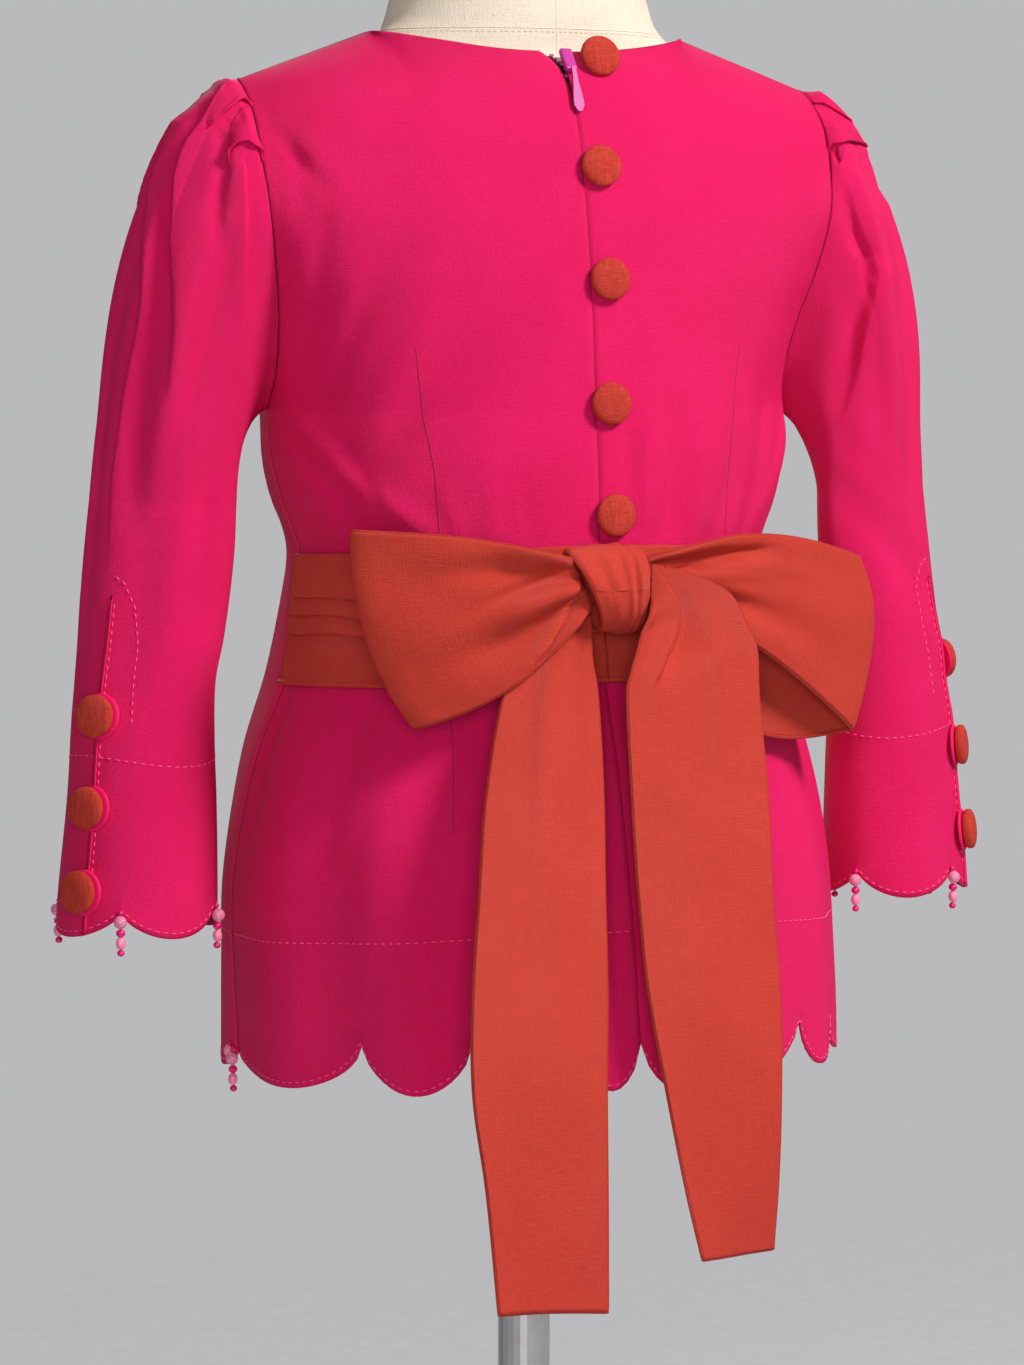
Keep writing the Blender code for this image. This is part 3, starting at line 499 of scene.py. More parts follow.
PINK = {"deep": (0.74, 0.0032, 0.096), "colour": (0.79, 0.0045, 0.112), "bright": (0.84, 0.0075, 0.13)}
RUST = {"deep": (0.52, 0.039, 0.023), "colour": (0.57, 0.045, 0.027), "bright": (0.62, 0.053, 0.033)}
pink = woven("pink plain weave", **PINK, thread=0.45, roughness=0.6, sheen=0.0, grain=0.32)
pink_inside = woven(
    "pink wrong side", (0.42, 0.003, 0.05), (0.50, 0.005, 0.065), (0.56, 0.01, 0.08),
    roughness=0.75, sheen=0.04,
)
rust = woven("rust twill", **RUST, thread=0.6, twill=True, roughness=0.5, sheen=0.0, grain=0.42)
button_cover = woven(
    "covered buttons", (0.42, 0.028, 0.016), (0.52, 0.040, 0.023), (0.60, 0.056, 0.034),
    thread=0.55, roughness=0.72, sheen=0.1, grain=0.6, coordinates="Object",
)
linen = woven(
    "natural linen", (0.77, 0.66, 0.51), (0.83, 0.72, 0.57), (0.88, 0.78, 0.64),
    thread=0.7, roughness=0.85, sheen=0.2, grain=0.36, coordinates="Object",
)
print("materials so far:", [m.name for m in bpy.data.materials if m.use_nodes][-5:])

# %% [markdown]
# Thread, glass and plastic are simpler. A seed bead is glass with a coloured core, so it is left
# opaque, and only the clear ones get some transmission.

# %% Small finishes
def plain(name, colour, roughness, patchy=0.12, metallic=0.0, scale=300.0, bump_height=0.00003, **sockets):
    made, tree, shader = shader_of(name)
    where = tree.nodes.new("ShaderNodeTexCoord").outputs["Object"]
    specks = noise(tree, where, scale)
    dark = [c * (1 - patchy) for c in colour]
    light = [min(1, c * (1 + patchy)) for c in colour]
    tree.links.new(ramp(tree, specks, (0.3, dark), (0.7, light)), shader.inputs["Base Color"])
    bump(tree, shader, specks, 0.3, bump_height)
    shader.inputs["Roughness"].default_value = roughness
    shader.inputs["Metallic"].default_value = metallic
    for socket, value in sockets.items():
        shader.inputs[socket.replace("_", " ")].default_value = value
    return made


pink_thread = plain("pink thread", (0.93, 0.085, 0.27), 0.5, scale=900)
# The dart cord is a very dark pink: painted shade of the groove that a sewn dart makes.
pink_seam_painted_shade = plain("pink seam painted shade", (0.26, 0.001, 0.028), 0.8, scale=700)
linen_thread = plain("linen thread", (0.72, 0.62, 0.48), 0.7, scale=900)
zip_plastic = plain("zip plastic", (0.46, 0.016, 0.24), 0.5, 0.05, bump_height=0.00001)
zip_tape = plain("zip tape", (0.16, 0.002, 0.035), 0.8, 0.2, scale=1500)
magenta_glass = plain("magenta beads", (0.70, 0.002, 0.15), 0.22, 0.08)
clear_glass = plain("clear pink beads", (0.94, 0.30, 0.48), 0.08, 0.04, Transmission_Weight=0.35, IOR=1.45)
rose_glass = plain("rose beads", (0.90, 0.22, 0.36), 0.2, 0.1)
steel = plain("brushed steel", (0.60, 0.60, 0.61), 0.32, 0.06, metallic=1.0, scale=120)
print("materials in all:", len(bpy.data.materials))

# %% [markdown]
# The base of the stand is varnished wood. Its grain is noise stretched nine times along one axis,
# with finer pores over it and a thin clear coat on top.

# %% Turned wood
def wood_finish():
    made, tree, shader = shader_of("varnished wood")
    where = tree.nodes.new("ShaderNodeTexCoord").outputs["Object"]
    rings = noise(tree, where, 6.0, (1.0, 9.0, 9.0), detail=6.0)
    pores = noise(tree, where, 40.0, (2.0, 60.0, 60.0), detail=3.0)
    grain = maths(tree, "ADD", maths(tree, "MULTIPLY", rings, 0.75), maths(tree, "MULTIPLY", pores, 0.25))
    stops = ((0.35, (0.26, 0.15, 0.075)), (0.5, (0.42, 0.27, 0.15)), (0.65, (0.52, 0.35, 0.20)))
    tree.links.new(ramp(tree, grain, *stops), shader.inputs["Base Color"])
    bump(tree, shader, pores, 0.3, 0.0001)
    shader.inputs["Roughness"].default_value = 0.42
    shader.inputs["Coat Weight"].default_value = 0.25
    return made


wood = wood_finish()
print("wood nodes:", len(wood.node_tree.nodes))

# %% [markdown]
# ## Back and front panels
# The blouse has one front and two backs. They are cut to meet at the shoulders, the sides and the
# zip, so each grid stops a hair short of its seams. The folds are the ones a tight waist makes:
# drag lines from the underarms, small gathers above and below the sash, and flutes below the waist,
# where the cloth is wider than the hips. Each crease gives the turn and height of its two ends.

# %% Creases of the body
DEGREE = math.pi * 130 / 180
BODY_FOLDS = (
    Crease(80, -50, 62, -104, 16, 2.5),
    Crease(-76, -50, -62, -104, 16, 2.5),
    Crease(70, -190, 74, -440, 20, 4.0),
    Crease(42, -190, 44, -440, 17, 3.0),
    Crease(-50, -190, -54, -440, 17, 3.0),
    Crease(-76, -190, -76, -440, 17, 4.0),
    Crease(153, -190, 153, -440, 19, 3.5),
    Crease(207, -190, 207, -440, 19, 3.0),
    Crease(84, -30, 40, -100, 7, 1.6),
    Crease(80, -46, 52, -106, 5, -1.5),
    Crease(66, -70, 30, -112, 6, 1.3),
    Crease(58, -60, 47, -106, 5, -1.2),
    Crease(70, 60, 78, -20, 9, -1.2),
    Crease(62, 20, 70, -40, 8, 1.0),
    Crease(24, -66, 25, -108, 5, 0.9),
    Crease(17, -72, 16, -108, 4, -0.8),
    Crease(35, -78, 33, -110, 4, 0.9),
    Crease(-10, -58, -11, -108, 5, 1.2),
    Crease(-17, -40, -19, -108, 6, -1.2),
    Crease(-27, -50, -26, -110, 6, 1.5),
    Crease(-36, -44, -34, -108, 5, -1.4),
    Crease(-45, -40, -41, -110, 7, 1.6),
    Crease(-56, -20, -48, -108, 7, -1.4),
    Crease(-83, -30, -52, -100, 7, 1.7),
    Crease(-72, 70, -80, -10, 9, -1.2),
    Crease(82, 96, 70, 66, 6, 1.0),
    Crease(84, 84, 66, 52, 5, -0.9),
    Crease(-82, 96, -70, 64, 6, 0.9),
    Crease(10, -166, 13, -215, 5, 0.8),
    Crease(27, -166, 30, -230, 6, -1.3),
    Crease(36, -166, 38, -222, 5, 1.0),
    Crease(56, -166, 60, -250, 7, -1.8),
    Crease(86, -166, 84, -240, 7, -1.6),
    Crease(-24, -166, -28, -232, 6, 1.2),
    Crease(-38, -166, -42, -250, 7, -1.6),
    Crease(-62, -166, -66, -260, 8, -2.2),
    Crease(57, -240, 58, -400, 13, -2.6),
    Crease(28, -250, 26, -400, 12, -1.8),
    Crease(-34, -250, -36, -400, 12, -2.0),
    Crease(100, -60, 118, -106, 7, 1.4),
    Crease(112, -50, 128, -108, 6, -1.2),
    Crease(140, -62, 146, -108, 6, 1.2),
    Crease(165, -70, 164, -108, 5, -1.0),
    Crease(178, -64, 179, -108, 5, 1.0),
    Crease(196, -58, 193, -108, 6, -1.2),
    Crease(222, -60, 214, -108, 7, 1.4),
    Crease(250, -46, 236, -106, 6, -1.2),
    Crease(262, -40, 246, -100, 7, 1.5),
    Crease(120, -168, 122, -240, 7, 1.4),
    Crease(134, -168, 134, -300, 9, -2.2),
    Crease(176, -168, 175, -260, 8, -1.6),
    Crease(192, -168, 190, -240, 6, 1.2),
    Crease(228, -168, 230, -310, 10, -2.4),
    Crease(246, -168, 244, -236, 6, 1.3),
)
MIRRORED = tuple(
    fold._replace(from_across=fold.from_across + 360, to_across=fold.to_across + 360)
    for fold in BODY_FOLDS if fold.from_across < -60
) + tuple(
    fold._replace(from_across=fold.from_across - 360, to_across=fold.to_across - 360)
    for fold in BODY_FOLDS if fold.from_across > 240
)
print("creases round the body:", len(BODY_FOLDS))

# %% [markdown]
# The drapes that show best are the long soft ones from the shoulder blades to the waist. They are
# drawn in the photograph, as ridges and valleys with a rise in millimetres and a width in pixels.

# %% Drapes of the back
DRAPES = (
    swell(-2.0, 17, 0.3, 0.3, ((420, 225), (390, 262), (358, 310), (330, 370), (312, 457))),
    swell(1.7, 18, 0.3, 0.3, ((446, 290), (410, 350), (372, 420), (345, 452))),
    swell(-2.2, 13, 0.3, 0.2, ((432, 395), (400, 440), (360, 482), (325, 525))),
    swell(1.4, 11, 0.3, 0.2, ((436, 462), (400, 500), (362, 530), (340, 545))),
    swell(1.2, 16, 0.3, 0.3, ((300, 110), (330, 170), (340, 240))),
    swell(-1.2, 11, 0.3, 0.3, ((283, 100), (300, 165), (306, 240))),
    swell(-1.4, 10, 0.3, 0.2, ((622, 400), (630, 470), (628, 540))),
    swell(1.6, 11, 0.3, 0.2, ((650, 380), (652, 460), (646, 540))),
    swell(-1.5, 11, 0.3, 0.2, ((682, 400), (680, 470), (668, 540))),
    swell(1.3, 12, 0.3, 0.2, ((722, 440), (712, 500), (700, 540))),
    swell(-1.8, 13, 0.3, 0.2, ((785, 330), (768, 400), (745, 470), (735, 530))),
    swell(-0.9, 16, 0.2, 0.3, ((440, 700), (430, 780), (428, 870), (436, 980))),
    swell(0.7, 18, 0.2, 0.3, ((395, 720), (380, 820), (366, 930), (352, 1030))),
    swell(-0.7, 14, 0.2, 0.3, ((330, 700), (315, 790), (300, 900), (296, 1000))),
)
print("drapes of the back:", len(DRAPES))

# %% [markdown]
# A panel is made of rows at fixed levels and columns at fixed turns. Every scallop meets its
# neighbour on a column, and the rows are closest at the hem, so the scalloped edge stays crisp.

# %% Panels
LEVELS = np.r_[
    np.linspace(0, 1, 19)[:-1], np.linspace(1, 2, 46)[:-1],
    np.linspace(2, 2.94, 92)[:-1], np.linspace(2.94, 3, 13),
]
SIDE_GAP, TOP_GAP = 0.14, 0.6


def columns(stops, widest):
    turns = [stops[0]]
    for start, end in zip(stops, stops[1:]):
        steps = max(4, math.ceil(abs(end - start) / widest))
        turns += [mix(start, end, n / steps) for n in range(1, steps + 1)]
    return turns


def step_in(edge, inner, gap):
    run = inner - edge
    return edge + run / np.linalg.norm(run, axis=-1, keepdims=True) * gap


def draw_back(grid, sides, top):
    """Stops the edges of a grid a little short of its seams."""
    first, last = step_in(grid[:, 0], grid[:, 1], sides), step_in(grid[:, -1], grid[:, -2], sides)
    grid[:, 0], grid[:, -1] = first, last
    grid[0] = step_in(grid[0], grid[1], top)
    return grid


def panel(name, stops, face, widest=1.6):
    turns = columns(stops, widest)
    signed = [t if t <= 180 else t - 360 for t in turns]
    nudge = -1e-9 if stops[0] < 0 else 0
    rows = [[body_point(t + nudge, level, face) for t in signed] for level in LEVELS]
    grid = draw_back(np.array(rows), SIDE_GAP, TOP_GAP)
    across = np.tile(np.array(turns, float), (len(LEVELS), 1))
    # The neckline turns sharply into the shoulder seam, and a little blending rounds that corner
    for corner in np.flatnonzero(np.isin(np.abs(signed), (NECK_TURN, 180 - NECK_TURN))):
        for column in (corner, corner - 1, corner + 1, corner):
            beside = (grid[:5, column - 1] + grid[:5, column + 1]) / 2
            grid[:5, column] = mix(grid[:5, column], beside, 0.7)
    height = grid[:, :, 2]
    lift = crease_rise(across, height, BODY_FOLDS + MIRRORED, DEGREE) + ripple(across * DEGREE, height, 0.25)
    if face == "back":
        lift += fold_lift(in_photo(grid), DRAPES)
    calm = np.clip((LEVELS - 0.12) / 0.5, 0, 1)[:, None] * np.ones_like(across)
    if face == "back":
        calm = calm * np.clip(np.abs(across) / 9, 0.15, 1)
    grid = grid + facing(grid) * (lift * calm)[:, :, None]
    made = grid_object(name + "_cloth", grid, pink)
    made.data.materials.append(pink_inside)
    thicken(made, CLOTH).modifiers["wall"].material_offset = 1
    made.modifiers["wall"].material_offset_rim = 0
    fit(made, "pink_cloth", name)
    return Cloth(made, grid, facing(grid), across, height)


BACK_LEFT = panel("back_left", (0, 12, 31, NECK_TURN, 53, 90), "back")
BACK_RIGHT = panel("back_right", (-90, -60, -NECK_TURN, -13, 0), "back")
FRONT = panel("front", (90, 117, 139, 167, 193, 221, 243, 270), "front", widest=2.6)

# %% [markdown]
# ## Seams and stitches
# A dart is a fold sewn away inside, and from outside it shows as one fine line, drawn as a thin cord
# in a very dark pink that is painted shade of the dart's groove. Stitches are what tells the eye how
# big a garment is, so they are real: short spindles of thread at 3 mm, each one with its ends sunk
# into the cloth. A path is a list of places on a panel, and every stitch takes its point and its
# direction from the panel's own grid.

# %% Seam lines and stitches
def even(points, outs, step):
    points, outs = np.asarray(points), np.asarray(outs)
    run = np.r_[0, np.linalg.norm(np.diff(points, axis=0), axis=1).cumsum()]
    at = np.arange(step / 2, run[-1], step)
    return [
        np.stack([np.interp(at, run, values[:, axis]) for axis in range(3)], axis=1)
        for values in (points, outs)
    ]


def spindles(name, paths, finish, length=2.3, gap=1.7, radius=0.26, sink=0.2, proud=0.12, sides=5):
    """Stitches along paths of (points, outward directions), all in one mesh."""
    verts, faces = [], []
    for points, outs in paths:
        heads, ups = even(points, outs, length + gap)
        ways = np.gradient(heads, axis=0)
        for head, up, way in zip(heads, ups, ways):
            way, up = way / np.linalg.norm(way), up / np.linalg.norm(up)
            aside = np.cross(way, up)
            first = len(verts)
            for share, full in ((-0.5, 0.45), (-0.3, 1), (0.3, 1), (0.5, 0.45)):
                lift = proud if abs(share) < 0.4 else -sink
                for n in range(sides):
                    turn = 2 * math.pi * n / sides
                    ring = (aside * math.cos(turn) + up * math.sin(turn)) * radius * full
                    verts.append(head + way * share * length + up * lift + ring)
            for ring in range(3):
                for n in range(sides):
                    a, b = first + ring * sides + n, first + ring * sides + (n + 1) % sides
                    faces.append((a, b, b + sides, a + sides))
            faces.append(tuple(first + n for n in range(sides))[::-1])
            faces.append(tuple(first + 3 * sides + n for n in range(sides)))
    print(name, len(verts) // (4 * sides), "stitches")
    return mesh_object(name, verts, faces, finish)


def line_on(cloth, places, lift=0.0, count=60):
    """A dense path on a cloth piece through (across, height) places."""
    at = np.linspace(0, len(places) - 1, count)
    steps = np.arange(len(places))
    across = np.interp(at, steps, [p[0] for p in places])
    height = np.interp(at, steps, [p[1] for p in places])
    found = [spot(cloth, a, h) for a, h in zip(across, height)]
    return np.array([p + o * lift for p, o in found]), np.array([o for _, o in found])


def cord_line(name, paths, radius, finish):
    """A fine raised line, such as a seam or an edge, as one curve with a spline for each path."""
    data = bpy.data.curves.new(name, "CURVE")
    data.dimensions = "3D"
    data.bevel_depth, data.bevel_resolution, data.use_fill_caps = radius * MM, 1, True
    for points in paths:
        spline = data.splines.new("POLY")
        spline.points.add(len(points) - 1)
        for point, where in zip(spline.points, place(points)):
            point.co = (*where, 1)
    data.materials.append(finish)
    return add(name, data)


# %% [markdown]
# The hem carries two rows: one close to the scalloped edge, and one where its deep facing ends.

# %% Hem stitches
def hem_path(cloth, start, end, above, count):
    places = [(t, hem_height(t if t <= 180 else t - 360) + above) for t in np.linspace(start, end, count)]
    return line_on(cloth, places, 0.05, count)


def facing_height(turn):
    return -276 - 10 * math.sin(math.radians(turn)) ** 2


HEM_RUNS = ((BACK_LEFT, 0.6, 89.5), (BACK_RIGHT, -89.5, -0.6), (FRONT, 90.5, 269.5))
edge_paths = [hem_path(cloth, a, b, 2.6, 220) for cloth, a, b in HEM_RUNS]
facing_paths = [
    line_on(cloth, [(t, facing_height(t)) for t in np.linspace(a, b, 40)], 0.05, 160)
    for cloth, a, b in HEM_RUNS
]
fit(spindles("hem_stitches", edge_paths + facing_paths, pink_thread), "pink_cloth")

# %% [markdown]
# A dart is a line in the photograph too, but on the body it is best told by its distance from the
# centre line at each height, because the four darts then mirror each other.

# %% Darts
Dart = namedtuple("Dart", "height aside")
DART = (
    Dart(-14, 81.5), Dart(-45, 77.5), Dart(-72, 73.5), Dart(-99, 71.5),
    Dart(-140, 71.2), Dart(-179, 72), Dart(-205, 73.5), Dart(-232, 76),
)


def dart_path(cloth, side):
    points = []
    for height in np.linspace(DART[0].height, DART[-1].height, 70):
        level = int(np.argmin(np.abs(cloth.height[:, 20] - height)))
        aside = np.interp(-height, [-row.height for row in DART], [row.aside for row in DART]) * side
        order = np.argsort(cloth.grid[level, :, 0])
        across = np.interp(aside, cloth.grid[level, order, 0], cloth.across[level, order])
        point, out = spot(cloth, across, height)
        points.append(point - out * 0.12)
    return np.array(points)


dart_paths = [dart_path(BACK_LEFT, 1), dart_path(BACK_RIGHT, -1), dart_path(FRONT, 1), dart_path(FRONT, -1)]
# The dart lines are painted shade: a very dark cord in place of the dart's groove.
fit(cord_line("dart_seams_painted_shade", dart_paths, 0.3, pink_seam_painted_shade), "pink_cloth")
print("darts:", len(dart_paths))

# %% [markdown]
# ## Sleeves
# The head of each sleeve is cut wider than its armhole and folded into two knife pleats on each
# side of the shoulder. A knife pleat rises slowly and ends in a folded edge, so its rise is wide on
# one side and short on the other. Below the head the sleeve is a slightly flared tube with a
# buttoned vent and a deep facing. The head leaves the armhole in its own direction at each place
# and joins the top of the arm on a smooth curve.

# %% Sizes of the sleeve
Head = namedtuple("Head", "around across back up hang")
SLEEVE_HEAD = (
    Head(0, 160, 0, -55, 215),
    Head(45, 110, 26, -30, 180),
    Head(90, 60, 20, -6, 115),
    Head(135, 42, 12, -12, 62),
    Head(180, 44, 5, -16, 34),
    Head(225, 42, -8, -12, 62),
    Head(270, 60, -18, -6, 115),
    Head(315, 105, -20, -34, 180),
    Head(360, 160, 0, -55, 215),
)
Arm = namedtuple("Arm", "height across back wide deep")
ARM = (
    Arm(-84, 180.9, 6, 33.9, 18),
    Arm(-110, 182.6, 6, 34.2, 20),
    Arm(-147, 186.7, 6, 33.0, 23),
    Arm(-167, 189.7, 6, 32.0, 25),
    Arm(-195, 191.2, 6, 33.0, 28),
    Arm(-220, 191.8, 6, 34.2, 30),
    Arm(-265, 194.0, 6, 36.7, 33),
    Arm(-290, 195.0, 6, 37.0, 34),
)
ARM_TURN, ARM_TOP, CUFF_ROUND, CUFF_JOIN, CUFF_LOW = 22.0, -84.0, -256.0, -269.0, -282.0
SLEEVE_COLUMNS = 26
CUFF_MEETS = (-1, 6, 12, 19, 25, 32)
VENT_AROUND = 4 * 360 / SLEEVE_COLUMNS
VENT_TOP, VENT_HALF_GAP = -128.0, 0.9
Pleat = namedtuple("Pleat", "start finish half_width rise drop")
PLEATS = (Pleat(22, 62, 26, 6.0, 16), Pleat(72, 96, 24, 6.0, 16))
OVER_LEVELS = (0.0, 0.12, 0.28, 0.48, 0.72)
ARMHOLE = (*OVER_LEVELS, *(1 + step / 8 for step in range(9)))
START_GAP = 0.1
print("cuff columns:", SLEEVE_COLUMNS, "and vent at", round(VENT_AROUND, 1), "degrees")

# %% [markdown]
# Around is the angle round the sleeve, 0 on its outer side and 90 at the back. Along runs from 0 at
# the armhole to 1 at the top of the arm and 2 at the scalloped edge of the cuff.

# %% Sleeve surface


def armhole_point(around):
    half = around if around <= 180 else 360 - around
    level = np.interp(half / 180 * (len(ARMHOLE) - 1), range(len(ARMHOLE)), ARMHOLE)
    return body_point(90, level, "front" if around > 180 else "back")


def arm_point(around, height):
    row = read(ARM, height)
    turn, lean = math.radians(around), math.radians(ARM_TURN)
    wide, deep = row.wide * math.cos(turn), row.deep * math.sin(turn)
    return np.array((
        row.across + wide * math.cos(lean) + deep * math.sin(lean),
        row.back - wide * math.sin(lean) + deep * math.cos(lean),
        height,
    ))


def pleat_rise(around, along):
    """How far the fullness of the two pleats lifts a place of the sleeve head."""
    half = around if around <= 180 else 360 - around
    rise = 0.0
    for pleat in PLEATS:
        away = mix(pleat.start, pleat.finish, along**1.2) - half
        shape = math.exp(-((away / pleat.half_width) ** 2)) if away > 0 else max(0.0, 1 + away / pleat.drop)
        rise += pleat.rise * shape * min(1, along / 0.05) * (1 - along) ** 0.8
    return rise


def sleeve_point(around, along):
    around %= 360
    if along > 1:
        down = (along - 1) / 0.85
        height = mix(ARM_TOP, CUFF_ROUND, min(down, 1))
        if down > 1:
            edge = mix(CUFF_JOIN, CUFF_LOW, scallop(around / 360 * SLEEVE_COLUMNS, CUFF_MEETS))
            height = mix(CUFF_ROUND, edge, (along - 1.85) / 0.15)
        return arm_point(around, height)
    pull = read(SLEEVE_HEAD, around)
    leave = np.array((pull.across, pull.back, pull.up))
    start = armhole_point(around) + leave / np.linalg.norm(leave) * START_GAP
    end, reach, t = arm_point(around, ARM_TOP), np.array((0.045, 0, -1)) * pull.hang, along
    point = (
        start * (2 * t**3 - 3 * t**2 + 1)
        + leave * (t**3 - 2 * t**2 + t)
        + end * (3 * t**2 - 2 * t**3)
        + reach * (t**3 - t**2)
    )
    out = point - (150 + 30 * t, 4, 20 - 60 * t)
    out /= np.linalg.norm(out)
    return point + out * pleat_rise(around, t)


print("sleeve outer edge at the elbow:", arm_point(0, -84).round(1))

# %% [markdown]
# The folds of a hanging sleeve run down from the pleats and break at the elbow. They are written
# by the angle round the sleeve and the height. The wearer's left sleeve is the one that the light
# leaves in shade, with the longer folds, so each sleeve has its own list.

# %% Creases of the sleeves
AROUND = math.pi * 32 / 180
SLEEVE_FOLDS = {
    "left": (
        Crease(28, 70, 20, -170, 7, -2.2),
        Crease(62, -20, 70, -90, 7, -1.6),
        Crease(80, 40, 84, -90, 7, 2.6),
        Crease(96, 30, 100, -40, 6, -2.0),
        Crease(112, -10, 100, -150, 9, 2.0),
        Crease(135, -50, 120, -130, 8, -1.8),
        Crease(92, -100, 76, -190, 10, -1.4),
        Crease(150, -80, 104, -120, 8, 1.8),
        Crease(158, -120, 110, -150, 8, -1.4),
        Crease(5, -60, 14, -190, 9, 1.6),
        Crease(-20, 40, -14, -120, 9, -2.4),
        Crease(-48, 40, -52, -60, 8, 2.4),
        Crease(-66, 34, -70, -80, 7, -2.6),
        Crease(-100, 0, -96, -120, 9, 2.0),
        Crease(-130, -60, -100, -130, 8, -1.6),
        Crease(-80, -110, -60, -200, 10, 1.6),
    ),
    "right": (
        Crease(26, 60, 18, -120, 8, -1.8),
        Crease(40, 50, 34, -40, 8, 2.0),
        Crease(60, 30, 78, -150, 9, -2.2),
        Crease(84, 30, 92, -70, 8, 1.8),
        Crease(104, 0, 106, -60, 7, -1.4),
        Crease(120, -60, 60, -110, 9, 2.0),
        Crease(140, -90, 70, -135, 9, -2.0),
        Crease(150, -70, 100, -95, 8, 1.5),
        Crease(120, -140, 60, -170, 10, 1.4),
        Crease(100, -150, 40, -190, 9, -1.3),
        Crease(-16, 40, -12, -100, 9, -2.2),
        Crease(-44, 40, -50, -60, 8, 2.2),
        Crease(-68, 30, -66, -70, 7, -2.4),
        Crease(-104, 0, -92, -110, 9, 1.8),
        Crease(-126, -70, -90, -140, 8, -1.8),
        Crease(-70, -130, -50, -210, 10, 1.5),
    ),
}
print("creases of each sleeve:", {word: len(folds) for word, folds in SLEEVE_FOLDS.items()})

# %% [markdown]
# The knife folds of the sleeve heads are drawn in the photograph. The half of a sleeve that doesn't
# show takes the folds of the half that does, mirrored through the sleeve.

# %% Sleeves
PLEAT_FOLDS = {
    "left": (
        Fold(RIGHT_HIGH, 3.0, 1.6, 4, 24, 15, 0.03, 0.3, (
            (226, 86), (214, 105), (204, 124), (190, 143), (183, 157), (177, 177), (175, 206), (174, 241),
            (176, 284), (177, 329), (170, 400),
        )),
        Fold(RIGHT_HIGH, 2.6, 1.4, 4, 18, 13, 0.05, 0.4, (
            (196, 106), (178, 126), (168, 146), (156, 174), (150, 198), (146, 232), (144, 267), (143, 301),
            (139, 329), (126, 388), (113, 478), (108, 573),
        )),
        swell(-1.6, 8, 0.2, 0.3, ((246, 112), (236, 119), (224, 130))),
        Fold(LEFT_HIGH, 1.8, 1.2, 4, 13, 16, 0.06, 0.4, (
            (241, 158), (245, 170), (245, 191), (246, 224), (245, 267), (245, 318), (242, 390),
        )),
        swell(-2.6, 8, 0.15, 0.3, (
            (225, 116), (223, 145), (222, 170), (217, 215), (220, 262),
        )),
    ),
    "right": (
        swell(-2.0, 8, 0.1, 0.2, ((832, 158), (846, 152), (860, 155))),
        swell(-2.2, 9, 0.2, 0.3, ((858, 150), (866, 163), (880, 187), (886, 206))),
        swell(-5.2, 12, 0.2, 0.4, (
            (853, 188), (853, 215), (861, 241), (870, 256), (866, 284), (856, 318), (845, 370), (836, 420),
        )),
        Fold(LEFT_HIGH, 2.4, 1.2, 5, 14, 10, 0.3, 0.4, (
            (840, 430), (858, 380), (868, 330), (880, 275), (877, 256), (866, 232), (852, 196), (836, 165),
        )),
    ),
}
DROP = np.r_[
    0, 0.008, np.linspace(0.016, 0.5, 112)[:-1], np.linspace(0.5, 1, 40)[:-1],
    np.linspace(1, 1.85, 58)[:-1], np.linspace(1.85, 2, 10),
]
ALL_ROUND = np.r_[0:120:1.3, 120:180:3, 180:240:4, 240:360:2.2]


def sleeve(word, side):
    after = ALL_ROUND[ALL_ROUND > VENT_AROUND + 0.5]
    before = ALL_ROUND[(ALL_ROUND < VENT_AROUND - 0.5) & (ALL_ROUND > 0)]
    arounds = np.r_[VENT_AROUND, after, before + 360, VENT_AROUND + 360]
    grid = np.array([[sleeve_point(turn, level) for turn in arounds] for level in DROP])
    shown = np.where(arounds % 360 > 180, 360 - arounds % 360, arounds % 360)
    mirror = np.array([[sleeve_point(turn, level) for turn in shown] for level in DROP])
    across = np.tile(np.where(arounds > 180 + VENT_AROUND / 2, arounds - 360, arounds), (len(DROP), 1))
    height = grid[:, :, 2]
    out = -facing(grid)
    lift = crease_rise(across, height, SLEEVE_FOLDS[word], AROUND) + ripple(across * AROUND, height, 0.22)
    calm = np.clip((DROP - 0.05) / 0.25, 0, 1)[:, None] * np.clip((height - CUFF_JOIN) / 60, 0.1, 1)
    pleats = fold_lift(in_photo(mirror * (side, 1, 1)), PLEAT_FOLDS[word])
    lift = lift * calm + pleats * np.clip(DROP / 0.035, 0, 1)[:, None]
    lift[:, -1] = lift[:, 0]
    grid = grid + out * lift[:, :, None]
    open_rows = height[:, 0] < VENT_TOP - 1
    step = grid[:, 1] - grid[:, 0]
    step = step / np.linalg.norm(step, axis=1, keepdims=True) * VENT_HALF_GAP
    grid[:, -1] = grid[:, 0]
    grid[open_rows, 0] += step[open_rows]
    grid[open_rows, -1] -= step[open_rows]
    grid[:, :, 0] *= side
    made = grid_object(f"sleeve_{word}_cloth", grid, pink, flip=side > 0, weld=True)
    made.data.materials.append(pink_inside)
    thicken(made, CLOTH).modifiers["wall"].material_offset = 1
    fit(made, "pink_cloth", "sleeve_" + word)
    out = facing(grid) * (-1 if side > 0 else 1)
    return Cloth(made, grid, out, np.tile(arounds, (len(DROP), 1)), grid[:, :, 2])


SLEEVES = {"left": sleeve("left", 1), "right": sleeve("right", -1)}
